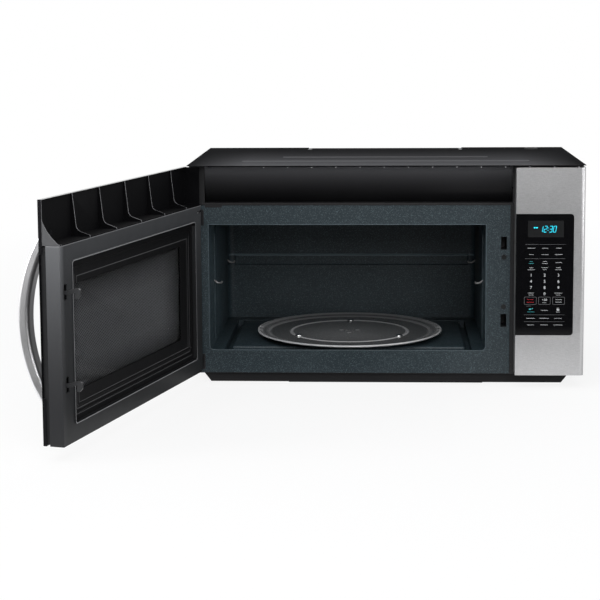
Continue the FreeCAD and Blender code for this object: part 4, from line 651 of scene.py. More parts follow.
# Painted highlights: the bars' tops and the rib tips below the cover's sheet are paler.
tone = add_mix(add_range(split["Z"], bar_top - FACE_SOFT, bar_top - SHARP, 0.0, BAR_PAINTED_HIGHLIGHT), tone, PAINTED_HIGHLIGHT_TONE)
tone = add_mix(add_range(split["Z"], rib_top - SHARP, rib_top + SHARP, 1.0, 0.0), tone, PAINTED_HIGHLIGHT_TONE)
settled = times(marks["Dust"], 0.06)
feed_all(shader, Base_Color=add_mix(settled, tone, DUST),
         Roughness=spread(grain["Tone"], 0.42, 0.55), IOR=1.0)
add_bump(shader, grain["Height"], 0.1)
print("top cover finish, fading over", FRONT_FADE, "m from its front edge")

# %% [markdown]
# The hood's front strip is satin black and slightly crowned, so it takes the light of the room at its upper
# edge and the dark of the floor at its foot. The imported strip is a plain sheet: the crown is only a few
# millimetres, so a bump with the height of a shallow arch bends the light the same way. A tone that grows
# lighter with the height is a painted reflection, standing for the light that a wider room would give.

# %% Finish: crowned hood strip
HOOD_CROWN = 2.2
HOOD_PAINTED_FADE = 3.2
hood_low, hood_high = plain_floats(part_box("vent_deflector"))
shader, place = start_finish("hood_black")
height = axes(place)["Z"]
grain = place_effect(grained, place, Scale=2000.0)
offset = minus(height, (hood_low[2] + hood_high[2]) / 2)
arch = times(times(offset, offset), -HOOD_CROWN)
tone = add_mix(grain["Tone"], (0.003, 0.003, 0.0035), (0.006, 0.006, 0.0065))
# Painted reflection: the base colour grows lighter towards the top of the strip.
lift = power(add_range(height, hood_low[2], hood_high[2]), HOOD_PAINTED_FADE)
feed_all(shader, Base_Color=add_mix(lift, tone, (0.075, 0.0755, 0.081)),
         Roughness=spread(grain["Tone"], 0.4, 0.5), Specular_IOR_Level=0.12)
add_bump(shader, arch, 1.0, 1.0)
print("hood strip", round(hood_high[2] - hood_low[2], 4), "m high")

# %% [markdown]
# The inside of the door is one moulding with three looks: a satin frame, a raised bead that shuts against
# the plate, and a sunk black field round the window. The bead's crest, the top edge of the cover and the
# steps inside the bead carry painted highlights. The louvre channel above it is black, with painted
# highlights on the edges of its thin ribs and on its end wall. Masks by the place on the door tell these
# areas apart, so the moulding stays one piece. The frame's tone rises with the height, as painted light for
# the light it takes from above, and so does the tone of the free edge's face.

# %% Finish: door moulding and louvre channel
BEAD_SPAN = ((0.027, 0.572), (0.056, 0.327))
BEAD_WIDTH = 0.003
BEAD_ROUND = 0.007
BEAD_CREST = (-0.0021, -0.0009)
STEP_LINES = ((-0.0125, 0.310), (-0.0215, 0.302), (-0.0305, 0.5))
STEP_HALF = 0.0006
STEP_FADE = 0.004
STEP_HIGHLIGHT = 0.3
LINE_SOFT = 0.0003
FREE_FACE = (0.5985, 0.6105)
FRAME_SPAN = (0.06, 0.35)
FRAME_FADE = 2.0
LOW_TONES = ((0.0124, 0.0128, 0.0136), (0.0186, 0.0192, 0.0204))
HIGH_TONES = ((0.034, 0.035, 0.037), (0.050, 0.0515, 0.0545))
EDGE_TONES = ((0.025, 0.0255, 0.027), (0.110, 0.112, 0.117))
SUNK_TONE = (0.0025, 0.0025, 0.003)
COVER_TOP = plain_floats(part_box("door_inner_cover"))[1][2]
TOP_HIGHLIGHT_WIDTH = 0.0015
TOP_HIGHLIGHT_SOFT = 0.0004
TOP_HIGHLIGHT_SHARE = 0.55
RIB_FIRST = 0.069
RIB_PITCH = 0.107
RIB_THICK = 0.002
RIB_SOFT = 0.0001
LOUVRE_END = 0.6127


def moulding(name, highlight_mask, sunk_mask, highlight_tone, gloss):
    """Black or grey moulding whose colour and gloss change over two masks, one of them for painted
    highlights.
    """
    shader, place = start_finish(name, True)
    along, height = door_sockets(place)
    grain = place_effect(grained, place, Scale=1500.0)
    marks = place_effect(marked, place, Scale=13.0)
    sunk = sunk_mask(along, height)
    # Painted light: the frame's tone rises with the height, and the free edge's face takes lighter tones
    # that rise too.
    rise = power(add_range(height, *FRAME_SPAN), FRAME_FADE)
    tone = add_mix(rise, add_mix(grain["Tone"], *LOW_TONES), add_mix(grain["Tone"], *HIGH_TONES))
    tone = add_mix(add_range(along, *FREE_FACE), tone, add_mix(rise, *EDGE_TONES))
    tone = add_mix(sunk, tone, SUNK_TONE)
    # Painted highlights: this pale colour goes where the highlight mask is.
    highlight_colour = (highlight_tone, highlight_tone, 1.03 * highlight_tone)
    rough = smeared(spread(grain["Tone"], 0.34, 0.44), marks, 0.06)
    feed_all(shader, Base_Color=add_mix(highlight_mask(along, height), tone, highlight_colour),
             Roughness=plus(rough, times(sunk, 0.2)),
             Specular_IOR_Level=gloss)
    add_bump(shader, grain["Height"], 0.06)


def bead_distance(along, height):
    """The distance outwards from the bead's rounded outer line, negative inside it."""
    pasts = []
    for value, (low, high) in zip((along, height), BEAD_SPAN):
        middle = (low + high) / 2
        away = add_sum("MAXIMUM", minus(value, middle), minus(middle, value))
        pasts.append(minus(away, (high - low) / 2 - BEAD_ROUND))
    reach = add_reach(*[add_sum("MAXIMUM", past, 0.0) for past in pasts])
    depth = add_sum("MINIMUM", add_sum("MAXIMUM", *pasts), 0.0)
    return minus(plus(reach, depth), BEAD_ROUND)


def bead_inside(along, height):
    """The sunk field round the window."""
    return add_range(bead_distance(along, height), -BEAD_WIDTH - SHARP, -BEAD_WIDTH + SHARP, 1.0, 0.0)


def bead_painted_highlight(along, height):
    """Painted highlights on the crest of the bead and the top edge of the cover, and fainter ones at the
    steps inside it.
    """
    distance = bead_distance(along, height)
    pale = within(distance, *BEAD_CREST, LINE_SOFT)
    top_edge = add_range(height, COVER_TOP - TOP_HIGHLIGHT_WIDTH, COVER_TOP - TOP_HIGHLIGHT_WIDTH + TOP_HIGHLIGHT_SOFT, 0.0, TOP_HIGHLIGHT_SHARE)
    pale = plus(pale, top_edge, clamp=True)
    for line, ceiling in STEP_LINES:
        below = add_range(height, ceiling - STEP_FADE, ceiling, STEP_HIGHLIGHT, 0.0)
        step = within(distance, line - STEP_HALF, line + STEP_HALF, LINE_SOFT)
        pale = plus(pale, times(step, below), clamp=True)
    return pale


def channel(along, height):
    """The louvre channel is black all over."""
    return within(height, 0.0, 1.0, RIB_SOFT)


def rib_painted_highlights(along, height):
    """Painted highlights: narrow strips along the evenly spaced ribs and the end wall, and the end wall's
    outer face.
    """
    step = add_sum("MODULO", minus(along, RIB_FIRST), RIB_PITCH)
    ribs = within(step, SHARP, RIB_THICK - SHARP, RIB_SOFT)
    end_edge = within(along, LOUVRE_END - RIB_THICK + SHARP, LOUVRE_END - SHARP, RIB_SOFT)
    end_face = add_range(along, LOUVRE_END - SHARP, LOUVRE_END - SHARP / 2, 0.0, 0.5)
    return plus(ribs, plus(end_edge, end_face), clamp=True)


moulding("door_cover", bead_painted_highlight, bead_inside, 0.24, 0.12)
moulding("louvre_black", rib_painted_highlights, channel, 0.17, 0.05)
print("made the door moulding and the louvre channel")

# %% [markdown]
# Galvanised sheet shows its zinc crystals as patches that each catch the light differently.
# The cells of the fleck effect at a large scale make those patches; a mirror-like metal would hide them.
# The back of the case is such a sheet. The others are inside it.

# %% Finish: zinc sheet
shader, place = start_finish("zinc_sheet")
crystals = place_effect(flecked, place, Scale=70.0)
feed_all(shader, Base_Color=add_mix(crystals["Fleck"], (0.45, 0.46, 0.47), (0.50, 0.51, 0.525)),
         Roughness=spread(crystals["Fleck"], 0.46, 0.40), Metallic=1.0)
add_bump(shader, crystals["Height"], 0.05)
print("made the zinc sheet")

# %% [markdown]
# The control glass and the door's outer glass are printed black on the back, so they look like deep black
# mirrors. The door's inner pane and the lenses are clear. Glass gets its look from reflection and
# refraction, so only its roughness changes, where hands have wiped it. The pane is coated and so thin that
# it bends no light: a low index keeps its reflection weak.

# %% Finish: glass
def glass(name, colour, clear, rough_low, rough_high, gloss, ior=1.5):
    """Glass with wiped smears on it; clear is the share of light that goes through, 0 for black glass."""
    shader, place = start_finish(name)
    marks = place_effect(marked, place, Scale=18.0)
    feed_all(shader, Base_Color=colour, Roughness=spread(marks["Smear"], rough_low, rough_high),
             Transmission_Weight=clear, IOR=ior, Specular_IOR_Level=gloss)


glass("black_glass", (0.0025, 0.0025, 0.003), 0.0, 0.04, 0.09, 0.4)
glass("clear_glass", (0.93, 0.97, 0.96), 1.0, 0.015, 0.05, 0.5)
glass("door_pane", (0.90, 0.91, 0.92), 1.0, 0.05, 0.1, 0.1, ior=1.05)
print("made black and clear glass")

# %% [markdown]
# The tray is pressed glass. Its thick rim and the ridge round its middle gather light and look pale, while
# the flat parts show the dark floor through them. Real refraction in a closed dark oven would need many
# bounces and much noise, so these are painted light and shade: pale and dark rings given by the distance
# from the tray's middle. Small pressed lugs, three on the ridge and three at the hub, get painted glints as
# pale spots, and so does the rim at both sides.

# %% Finish: tray glass
TRAY_PAINTED_TONES = ((0.0, 0.34), (0.60, 0.20), (0.622, 0.80), (0.640, 0.80), (0.657, 0.15), (0.84, 0.13),
              (0.87, 0.50), (0.92, 0.15), (0.958, 0.55), (0.975, 0.30), (0.985, 1.0), (1.0, 1.0))
TRAY_TINT = (0.985, 0.99, 1.0)
RIDGE_SHARE = 0.62
LUG_ANGLES = (90.0, 210.0, 330.0)
PAINTED_GLINTS = ((RIDGE_SHARE, 0.0085, LUG_ANGLES), (0.10, 0.0055, (30.0, 150.0, 270.0)),
          (0.985, 0.009, (-4.0, 5.0, 175.0, 184.0)))
PAINTED_GLINT_TONE = (0.92, 0.92, 0.92)
tray_low, tray_high = plain_floats(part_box("glass_tray"))
tray_middle = [(tray_low[axis] + tray_high[axis]) / 2 for axis in (0, 1)]
tray_radius = (tray_high[0] - tray_low[0]) / 2


def tray_spot(share, angle):
    """A place on the tray, at a share of its radius and an angle in degrees."""
    return (tray_middle[0] + share * tray_radius * math.cos(math.radians(angle)),
            tray_middle[1] + share * tray_radius * math.sin(math.radians(angle)))


def reach_from(split, spot):
    """The level distance from a spot."""
    return add_reach(minus(split["X"], spot[0]), minus(split["Y"], spot[1]))


shader, place = start_finish("tray_glass")
split = axes(place)
# Painted light and shade: pale rings and dark flats by the distance from the middle.
colour = add_ramp(reach_from(split, tray_middle), 0.0, tray_radius, TRAY_PAINTED_TONES, TRAY_TINT)
# Painted glints: pale spots on the lugs and at both sides of the rim.
for share, size, angles in PAINTED_GLINTS:
    for angle in angles:
        reach = reach_from(split, tray_spot(share, angle))
        colour = add_mix(add_range(reach, 0.6 * size, size, 1.0, 0.0), colour, PAINTED_GLINT_TONE)
marks = place_effect(marked, place, Scale=18.0)
feed_all(shader, Base_Color=colour, Roughness=spread(marks["Smear"], 0.06, 0.12),
         Transmission_Weight=0.4, IOR=1.5)
print("tray rings out to", round(tray_radius, 4), "m")

# %% [markdown]
# The screen in the door is sheet steel pierced with thousands of small round holes, painted dark.
# Real holes would need far too many faces, so a grid of round cells in the material draws them.
# The grid is set at 45 degrees, which gives the staggered rows of a pierced screen.
# The mesh of the grease filters is drawn the same way. On the door's screen a painted shade darkens the
# sheet towards the window's edges, where it lies deep in the tub.

# %% Finish: pierced metal
SCREEN_ALONG = (0.130, 0.565)
SCREEN_HEIGHT = (0.128, 0.258)
SCREEN_PAINTED_SHADE = (0.020, 0.020, 0.022)
SHADE_SOFT = (0.04, 0.025)
ROW_SLANT = math.radians(45.0)
HOLE_SOFT = 0.08
HOLE_DEPTH = 0.0004


def hole_grid(across, upward, pitch, hole):
    """A mask of round holes in staggered rows over two directions, 1 inside a hole."""
    tree = across.id_data
    flat = add_node(tree, "CombineXYZ", X=across, Y=upward)
    slant = add_node(tree, "Mapping", Vector=flat.outputs[0], Rotation=(0.0, 0.0, ROW_SLANT))
    cells = add_node(tree, "TexVoronoi", Vector=slant.outputs[0], Scale=1.0 / pitch, Randomness=0.0)
    cells.voronoi_dimensions = "2D"
    return add_range(cells.outputs["Distance"], hole, hole + HOLE_SOFT, 1.0, 0.0)


def window_painted_shade(place):
    """Painted shade: the screen lies deep in the tub, so its tone darkens towards the window's edges."""
    along, height = door_sockets(place)
    return times(within(along, *SCREEN_ALONG, SHADE_SOFT[0]), within(height, *SCREEN_HEIGHT, SHADE_SOFT[1]))


def pierced(name, turned, sheet, hole_colour, pitch, hole, metal, directions, shade=None):
    """Metal sheet with staggered holes, in a plane given by two of the piece's directions."""
    shader, place = start_finish(name, turned)
    split = axes(place)
    holes = hole_grid(split[directions[0]], split[directions[1]], pitch, hole)
    marks = place_effect(marked, place, Scale=20.0)
    # Painted shade: where a shade mask is given, the sheet darkens towards the window's edges.
    tone = add_mix(shade(place), SCREEN_PAINTED_SHADE, sheet) if shade else sheet
    feed_all(shader, Base_Color=add_mix(holes, tone, hole_colour),
             Roughness=smeared(spread(holes, 0.42, 0.9), marks, 0.06), Metallic=metal)
    add_bump(shader, minus(1.0, holes), 0.3, HOLE_DEPTH)


pierced("screen_metal", True, (0.124, 0.1255, 0.133), (0.008, 0.008, 0.008), 0.0040, 0.31, 0.0, ("X", "Z"),
        window_painted_shade)
pierced("aluminium_mesh", False, (0.62, 0.62, 0.62), (0.06, 0.06, 0.06), 0.0045, 0.33, 1.0, ("X", "Y"))
print("made the pierced screen and the grease filter mesh")

# %% [markdown]
# The display sits behind the black glass. Its window is a shade lighter than the glass round it,
# and the digits shine blue-green. Emission is used for the digits, because they are lamps in themselves.
# The printed marks are pale ink, with one key in red and a few labels in teal.

# %% Finish: display and panel print
INKS = {
    "display": ((0.006, 0.0065, 0.007), 0.0),
    "print_pale": ((0.60, 0.61, 0.62), 0.0),
    "print_grey": ((0.12, 0.12, 0.125), 0.0),
    "print_teal": ((0.05, 0.34, 0.36), 0.0),
    "print_red": ((0.52, 0.02, 0.03), 0.0),
    "segment_glow": ((0.02, 0.62, 0.80), 0.9),
}
INK_FADE = 0.86
for name, (colour, glow) in INKS.items():
    shader, place = start_finish(name)
    grain = place_effect(grained, place, Scale=2600.0)
    uneven = add_mix(grain["Tone"], tuple(INK_FADE * part for part in colour), colour)
    feed_all(shader, Base_Color=uneven, Roughness=spread(grain["Tone"], 0.35, 0.5), Specular_IOR_Level=0.15)
    if glow:
        feed_all(shader, Emission_Color=uneven, Emission_Strength=glow)
print("made", len(finishes), "finishes in all")

# %% [markdown]
# Each CAD piece came in with the name of its finish in the record. That name picks the material made above,
# and some pieces take a finish of their own instead, such as the door's skin with its turned grain.
# Only the material slot changes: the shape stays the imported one.

# %% Give every piece its finish
OWN_FINISH = {
    "door_skin": "stainless_door",
    "door_handle": "handle_satin",
    "door_inner_glass": "door_pane",
    "door_louvre": "louvre_black",
    "door_inner_cover": "door_cover",
    "latch_key": "latch_grey",
    "handle_screws": "handle_screw",
    "glass_tray": "tray_glass",
    "vent_deflector": "hood_black",
    "top_cover": "top_black",
    "rack_supports": "hook_grey",
    "exhaust_damper_frame": "black_case",
    "damper_flap": "black_case",
    "case_screws": "screw_black",
    "hinge_brackets": "dark_plating",
}
dressed = {}
for name, piece in nodes.items():
    for slot in piece.material_slots:
        finish = OWN_FINISH.get(name, slot.material.name.split(".")[0])
        slot.material = finishes[finish]
        dressed[finish] = dressed.get(finish, 0) + 1
print("pieces in each finish:", dressed)

# %% [markdown]
# No real edge is perfectly sharp: bent sheet has a bend radius and a mould leaves a small round.
# That narrow round is what draws a bright line along an edge. The CAD edges are sharp, so a bevel modifier
# rounds them for the render. The faces of a loaded mesh are apart from each other, so a weld comes first.

# %% Round the sharp edges for the light
EDGE_ROUND = {
    "door_inner_cover": 0.0014, "door_louvre": 0.0009, "door_skin": 0.0003, "latch_key": 0.0006,
    "front_plate": 0.00025, "control_bezel": 0.0005, "vent_frame": 0.0005, "base_pan": 0.0003,
    "top_cover": 0.0004, "hinge_brackets": 0.0006, "control_panel_frame": 0.0004, "rack_supports": 0.0011,
    "drive_coupler": 0.0006, "base_centre_plate": 0.0003, "case_screws": 0.0003, "glass_tray": 0.0011,
}
WELD_REACH = 0.00001
SHARP_ANGLE = math.radians(32.0)
for name, radius in EDGE_ROUND.items():
    weld = nodes[name].modifiers.new("weld", "WELD")
    weld.merge_threshold = WELD_REACH
    bevel = nodes[name].modifiers.new("edge_round", "BEVEL")
    bevel.width = radius
    bevel.segments = 2
    bevel.limit_method = "ANGLE"
    bevel.angle_limit = SHARP_ANGLE
    bevel.harden_normals = True
    bevel.use_clamp_overlap = True
print("edges rounded on", len(EDGE_ROUND), "pieces")

# %% [markdown]
# The marks on the control glass are printed: a clock window, number keys, rules and boxed keys.
# Each key's label is a row of small blocks. Flat outlines raised by a hair's breadth keep the print
# in geometry, where a texture would need an image. All the panel's sizes are in millimetres.

# %% Helpers for the panel print
PRINT_DEPTH = 0.00008
MM = 0.001
BLOCK_PITCH = 1.5
BLOCK_WIDTH = 1.08
BLOCK_SHORT = 0.76
print_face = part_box("control_glass")[0][1]


def arc(x, z, radius, start, sweep, steps):
    """Points round part of a circle, from a start angle in degrees."""
    angles = [math.radians(start + sweep * step / steps) for step in range(steps + 1)]
    return [(x + radius * math.cos(angle), z + radius * math.sin(angle)) for angle in angles]


def rounded_bar(x, z, width, height, steps=5):
    """The outline of a bar with round ends, about its middle."""
    radius = min(width, height) / 2
    side = width / 2 - radius
    return arc(x + side, z, radius, -90, 180, steps) + arc(x - side, z, radius, 90, 180, steps)


def rounded_box(x_low, x_high, z_low, z_high, radius, steps=4):
    """The outline of a box with round corners."""
    left, right = (x_low + radius, x_high - radius)
    low, high = (z_low + radius, z_high - radius)
    return (arc(right, low, radius, -90, 90, steps) + arc(right, high, radius, 0, 90, steps)
            + arc(left, high, radius, 90, 90, steps) + arc(left, low, radius, 180, 90, steps))


def add_piece(name, mesh, finish):
    """A piece of the object that only this scene has, with its finish."""
    mesh.materials.append(finishes[finish])
    piece = bpy.data.objects.new(name, mesh)
    bpy.context.collection.objects.link(piece)
    return piece


def printed(name, outlines, finish, lift=0.0, frames=()):
    """A printed piece on the control glass: filled outlines, and frames as outer and inner outlines."""
    points = []
    faces = []
    back = print_face - lift
    front = back - PRINT_DEPTH
    for outline in outlines:
        first = len(points)
        count = len(outline)
        for depth in (front, back):
            points += [(x * MM, depth, z * MM) for x, z in outline]
        faces.append(tuple(range(first, first + count)))
        for index in range(count):
            after = (index + 1) % count
            faces.append((first + index, first + count + index, first + count + after, first + after))
    for outer, inner in frames:
        count = len(outer)
        rim, hole, rim_back, hole_back = [len(points) + share * count for share in range(4)]
        for depth in (front, back):
            points += [(x * MM, depth, z * MM) for x, z in outer + inner]
        for index in range(count):
            after = (index + 1) % count
            faces.append((rim + index, rim + after, hole + after, hole + index))
            faces.append((rim + index, rim_back + index, rim_back + after, rim + after))
            faces.append((hole + index, hole + after, hole_back + after, hole_back + index))
    mesh = bpy.data.meshes.new(name)
    mesh.from_pydata(points, [], faces)
    piece = add_piece(name, mesh, finish)
    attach(piece, "case")


def word_blocks(x, z, width, height):
    """A label as a row of small blocks, about its middle."""
    count = max(2, round(width / BLOCK_PITCH))
    start = x - (count - 1) * BLOCK_PITCH / 2
    row = []
    for index in range(count):
        tall = height if index % 3 == 0 else BLOCK_SHORT * height
        row.append(rounded_bar(start + index * BLOCK_PITCH, z - (height - tall) / 2, BLOCK_WIDTH, tall, 3))
    return row


def two_lines(x, z, half_step, widths, height):
    """A label of two rows of blocks, one above the other."""
    upper = word_blocks(x, z + half_step, widths[0], height)
    return upper + word_blocks(x, z - half_step, widths[1], height)


print("print lies on the glass at y =", round(print_face, 4))

# %% [markdown]
# The keys stand in three columns. A list of rows gives each label's height and the lengths in its columns;
# a pair of lengths makes a label of two short lines. One left label is teal, and so are the marks of the
# lower left key.

# %% Key labels
COLUMNS = (277.7, 303.4, 329.5)
TEAL_ROW = 247.0
LABEL_ROWS = (
    (274.5, (15.0, 12.0, 10.5)),
    (262.4, (9.0, 13.5, 15.0)),
    (TEAL_ROW, ((6.0, 11.0), (8.0, 11.0), 12.0)),
    (235.0, ((8.0, 13.0), (12.0, 7.0), (9.0, 12.0))),
    (186.2, ((12.0, 9.0), None, (15.0, 9.0))),
    (154.7, (None, 13.5, None)),
    (139.2, (16.0, 18.0, 13.5)),
    (126.5, (13.5, 13.5, 16.5)),
)
LINE_HEIGHT = 2.3
SHORT_LINE = 0.85 * LINE_HEIGHT
HALF_STEP = 1.9
ICON_LABEL = 151.6
ICON_LINE = 2.0
ICON_SHAPES = ((-1.2, 156.8, 4.6, 2.6), (3.0, 158.0, 2.2, 2.2))
pale_marks = []
teal_marks = []
for height, widths in LABEL_ROWS:
    for column, width in zip(COLUMNS, widths):
        marks = teal_marks if height == TEAL_ROW and column == COLUMNS[0] else pale_marks
        if isinstance(width, tuple):
            marks += two_lines(column, height, HALF_STEP, width, SHORT_LINE)
        elif width:
            marks += word_blocks(column, height, width, LINE_HEIGHT)
teal_marks += word_blocks(COLUMNS[0], ICON_LABEL, 13.0, ICON_LINE)
pale_marks += word_blocks(COLUMNS[2], ICON_LABEL, 8.0, ICON_LINE)
for shift, height, width, tall in ICON_SHAPES:
    teal_marks.append(rounded_bar(COLUMNS[0] + shift, height, width, tall))
printed("label_blocks", pale_marks, "print_pale")
printed("teal_label_blocks", teal_marks, "print_teal")
print("printed", len(pale_marks), "pale and", len(teal_marks), "teal blocks")

# %% [markdown]
# Thin rules part the groups of keys, and three keys stand in boxes. A box is a frame: an outer and an inner
# outline with a face between them. The lock mark is made the same way, from a ring on a small block.

# %% Rules and boxed keys
RULES = ((281.6, 293.0), (254.3, 293.0), (145.9, 265.0), (132.7, 265.0))
RULE_END = 341.9
RULE_HALF = 0.2
GREY_LABELS = ((278.5, 281.6, 25.0, 1.5), (278.5, 254.3, 25.0, 1.5), (273.5, 163.0, 9.0, 1.7))
KEY_BOXES = ((264.8, 288.4), (292.1, 314.7), (318.7, 341.9))
BOX_LOW = 165.7
BOX_HIGH = 180.5
BOX_LINE = 0.55
LOCK_HEIGHT = 157.6
LOCK_RINGS = (4.0, 2.8)
LOCK_HALF = 2.4
LOCK_BLOCK = (154.2, 157.2)
STOP_LABEL = {"half_step": 2.6, "widths": (12.0, 13.5), "height": 3.4}
START_LABEL = {"half_step": 2.4, "widths": (12.0, 12.0), "height": 2.8}
box_mid = (BOX_LOW + BOX_HIGH) / 2
rules = [rounded_box(start, RULE_END, height - RULE_HALF, height + RULE_HALF, 0.1, 2)
         for height, start in RULES]
for label in GREY_LABELS:
    rules += word_blocks(*label)
box_frames = [(rounded_box(low, high, BOX_LOW, BOX_HIGH, 2.0),
               rounded_box(low + BOX_LINE, high - BOX_LINE, BOX_LOW + BOX_LINE, BOX_HIGH - BOX_LINE, 1.5))
              for low, high in KEY_BOXES]
lock_ring = tuple(rounded_bar(COLUMNS[2], LOCK_HEIGHT, size, size, 8) for size in LOCK_RINGS)
lock_block = rounded_box(COLUMNS[2] - LOCK_HALF, COLUMNS[2] + LOCK_HALF, *LOCK_BLOCK, 0.5)
printed("rules_and_boxes", rules, "print_grey", frames=box_frames)
printed("lock_mark", [lock_block], "print_pale", frames=[lock_ring])
printed("stop_key_blocks", two_lines(sum(KEY_BOXES[0]) / 2, box_mid, **STOP_LABEL), "print_red")
printed("start_key_blocks", two_lines(sum(KEY_BOXES[2]) / 2, box_mid, **START_LABEL), "print_pale")
print("printed", len(RULES), "rules and", len(KEY_BOXES), "boxed keys")

# %% [markdown]
# The number keys are plain digits. Blender's own text tool draws them, and the text is turned into a mesh
# so that it rides and exports like any other piece. The same step makes the digits of the quick-start key.

# %% Number keys
DIGIT_SIZE = 7.9
QUICK_SIZE = 6.2
QUICK_LIFT = 1.6
QUICK_DROP = 3.6
QUICK_LABEL = (7.5, 2.0)
DIGIT_ROWS = ((222.3, "123"), (210.2, "456"), (198.3, "789"))
ZERO_HEIGHT = 186.2


def digit_piece(name, text, x, z, size):
    """A number on the control glass, drawn as text and kept as a mesh."""
    curve = bpy.data.curves.new(name, "FONT")
    curve.body = text
    curve.size = size * MM
    curve.align_x = "CENTER"
    curve.align_y = "CENTER"
    curve.extrude = PRINT_DEPTH / 2
    curve.resolution_u = 3
    holder = bpy.data.objects.new(name + "_text", curve)
    bpy.context.collection.objects.link(holder)
    bpy.context.view_layer.update()
    mesh = bpy.data.meshes.new_from_object(holder.evaluated_get(bpy.context.evaluated_depsgraph_get()))
    bpy.data.objects.remove(holder)
    place = Matrix.Translation((x * MM, print_face - PRINT_DEPTH / 2, z * MM))
    mesh.transform(place @ Matrix.Rotation(math.pi / 2, 4, "X"))
    mesh.materials.clear()
    piece = add_piece(name, mesh, "print_pale")
    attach(piece, "case")


for height, digits in DIGIT_ROWS:
    for column, digit in zip(COLUMNS, digits):
        digit_piece(f"digit_{digit}", digit, column, height, DIGIT_SIZE)
digit_piece("digit_0", "0", COLUMNS[1], ZERO_HEIGHT, DIGIT_SIZE)
digit_piece("quick_key_number", "+30", COLUMNS[1], box_mid + QUICK_LIFT, QUICK_SIZE)
printed("quick_key_blocks", word_blocks(COLUMNS[1], box_mid - QUICK_DROP, *QUICK_LABEL), "print_pale")
print("number keys 0 to 9 in place")

# %% [markdown]
# The clock is a seven-segment display. Each digit lights some of seven bars; a table says which.
# The bars lean to the right, as on the real display, so every point is moved sideways by its height.

# %% Clock
SEGMENTS = {"0": "abcdef", "1": "bc", "2": "abged", "3": "abgcd"}
SEGMENT_HEIGHT = 11.4
SEGMENT_WIDTH = 4.9
SEGMENT_LINE = 0.85
LEAN = 0.16
CLOCK_LOW = 305.2
CLOCK_DIGITS = (("1", 293.0), ("2", 300.8), ("3", 310.8), ("0", 318.2))
COLON_PLACE = 308.1
COLON_SIZE = 1.4
COLON_SHARES = (0.3, 0.7)
SIGNS = (283.6, 287.8)
SIGN_HEIGHT = 313.6
SIGN_SIZE = (3.4, 2.4)
WINDOW_ROUND = 1.2


def segment(start, end):
    """A lit bar with pointed ends between two points."""
    (x_start, z_start), (x_end, z_end) = start, end
    half = SEGMENT_LINE / 2
    length = math.hypot(x_end - x_start, z_end - z_start)
    way = ((x_end - x_start) / length, (z_end - z_start) / length)
    side = (-way[1] * SEGMENT_LINE / 2, way[0] * SEGMENT_LINE / 2)
    near_end = (x_start + way[0] * half, z_start + way[1] * half)
    far_end = (x_end - way[0] * half, z_end - way[1] * half)
    return [start, (near_end[0] - side[0], near_end[1] - side[1]),
            (far_end[0] - side[0], far_end[1] - side[1]), end,
            (far_end[0] + side[0], far_end[1] + side[1]), (near_end[0] + side[0], near_end[1] + side[1])]


def lean(outline):
    """Slant an outline to the right about the clock's lower edge."""
    return [(x + LEAN * (z - CLOCK_LOW), z) for x, z in outline]


low, middle, high = (CLOCK_LOW, CLOCK_LOW + SEGMENT_HEIGHT / 2, CLOCK_LOW + SEGMENT_HEIGHT)
clock = []
for digit, left in CLOCK_DIGITS:
    corner = left + SEGMENT_WIDTH
    bars = {"a": ((left, high), (corner, high)), "b": ((corner, middle), (corner, high)),
            "c": ((corner, low), (corner, middle)), "d": ((left, low), (corner, low)),
            "e": ((left, low), (left, middle)), "f": ((left, middle), (left, high)),
            "g": ((left, middle), (corner, middle))}
    clock += [lean(segment(*bars[letter])) for letter in SEGMENTS[digit]]
for share in COLON_SHARES:
    height = CLOCK_LOW + share * SEGMENT_HEIGHT
    clock.append(lean(rounded_bar(COLON_PLACE, height, COLON_SIZE, COLON_SIZE, 6)))
clock += [rounded_bar(place, SIGN_HEIGHT, *SIGN_SIZE) for place in SIGNS]
window_low, window_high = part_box("display_module")
printed("clock_window", [rounded_box(window_low[0] / MM, window_high[0] / MM, window_low[2] / MM,
                                     window_high[2] / MM, WINDOW_ROUND)], "display")
printed("clock_digits", clock, "segment_glow", lift=PRINT_DEPTH)
print("clock of", len(clock), "lit parts")

# %% [markdown]
# The edge of the oven mouth is rolled: the sheet turns back on itself, so that no cut edge meets a hand.
# The roll catches the light as one thin line. A small tube swept along the mouth's outline stands for it,
# with the same round lower corners as the opening in the plate, and its paler enamel is a painted highlight.

# %% Rolled edge of the mouth
MOUTH_X = (-343.8, 194.6)
MOUTH_Z = (67.7, 315.1)
MOUTH_ROUND = 9.0
MOUTH_FRONT = -205.7
ROLL_RADIUS = 0.9
ROLL_SIDES = 8
CORNER_STEPS = 6
corner_height = MOUTH_Z[0] + MOUTH_ROUND
path = arc(MOUTH_X[0] + MOUTH_ROUND, corner_height, MOUTH_ROUND, 180, 90, CORNER_STEPS)
path += arc(MOUTH_X[1] - MOUTH_ROUND, corner_height, MOUTH_ROUND, 270, 90, CORNER_STEPS)
path += [(MOUTH_X[1], MOUTH_Z[1]), (MOUTH_X[0], MOUTH_Z[1])]
points = []
faces = []
for index, (x, z) in enumerate(path):
    here = Vector((x, z))
    onward = (Vector(path[(index + 1) % len(path)]) - here).normalized()
    ahead = ((here - Vector(path[index - 1])).normalized() + onward).normalized()
    outward = Vector((ahead.y, -ahead.x)) / max(0.5, ahead.dot(onward))
    ring = index * ROLL_SIDES
    following = ((index + 1) % len(path)) * ROLL_SIDES
    for side in range(ROLL_SIDES):
        angle = 2 * math.pi * side / ROLL_SIDES
        shift = outward * ROLL_RADIUS * math.cos(angle)
        depth = MOUTH_FRONT + ROLL_RADIUS * math.sin(angle)
        points.append(((x + shift.x) * MM, depth * MM, (z + shift.y) * MM))
        beside = (side + 1) % ROLL_SIDES
        faces.append((ring + side, following + side, following + beside, ring + beside))
mesh = bpy.data.meshes.new("mouth_roll")
mesh.from_pydata(points, [], faces)
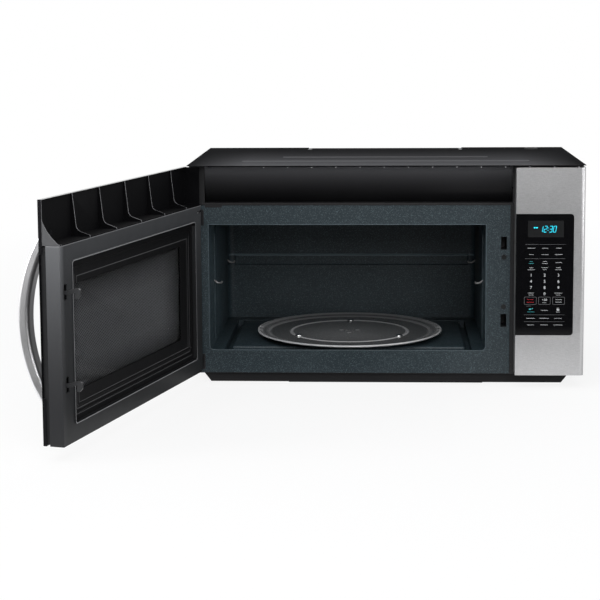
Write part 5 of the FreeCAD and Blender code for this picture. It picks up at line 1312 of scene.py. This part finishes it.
mesh.polygons.foreach_set("use_smooth", [True] * len(faces))
# Painted highlight: the roll takes the paler enamel.
mouth_roll = add_piece("mouth_roll", mesh, "roll_painted_highlight_enamel")
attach(mouth_roll, "case")
print("mouth roll of", len(faces), "faces")

# %% [markdown]
# Three smooth lugs stand on the tray's ridge. They are pressed with the glass and are the brightest glints
# in the oven, because their round tops mirror the light that comes in at the mouth. Each is a shallow dome,
# turned out of rings of points, and they ride on the turntable.

# %% Lugs on the tray
LUG_RADIUS = 0.0080
LUG_RISE = 0.0046
LUG_SINK = 0.0051
LUG_RINGS = 5
LUG_SIDES = 16
shader, place = start_finish("lug_glass")
smear = place_effect(marked, place, Scale=60.0)["Smear"]
feed_all(shader, Base_Color=add_mix(smear, (0.90, 0.91, 0.92), (0.80, 0.81, 0.82)),
         Roughness=spread(smear, 0.16, 0.26), Metallic=1.0)
lug_seat = tray_high[2] - LUG_SINK
points = []
faces = []
for angle in LUG_ANGLES:
    x, y = tray_spot(RIDGE_SHARE, angle)
    first = len(points)
    for ring in range(LUG_RINGS):
        rise = math.radians(90 * ring / LUG_RINGS)
        for side in range(LUG_SIDES):
            turn = 2 * math.pi * side / LUG_SIDES
            points.append((x + LUG_RADIUS * math.cos(rise) * math.cos(turn),
                           y + LUG_RADIUS * math.cos(rise) * math.sin(turn),
                           lug_seat + LUG_RISE * math.sin(rise)))
    points.append((x, y, lug_seat + LUG_RISE))
    for ring in range(LUG_RINGS - 1):
        for side in range(LUG_SIDES):
            low = first + ring * LUG_SIDES
            beside = (side + 1) % LUG_SIDES
            faces.append((low + side, low + beside, low + LUG_SIDES + beside, low + LUG_SIDES + side))
    last = first + (LUG_RINGS - 1) * LUG_SIDES
    for side in range(LUG_SIDES):
        faces.append((last + side, last + (side + 1) % LUG_SIDES, first + LUG_RINGS * LUG_SIDES))
    faces.append(tuple(first + side for side in reversed(range(LUG_SIDES))))
mesh = bpy.data.meshes.new("tray_lugs")
mesh.from_pydata(points, [], faces)
mesh.polygons.foreach_set("use_smooth", [len(face) < 5 for face in faces])
tray_lugs = add_piece("tray_lugs", mesh, "lug_glass")
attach(tray_lugs, "turntable")
print("three lugs of", len(faces), "faces at height", round(lug_seat, 4))
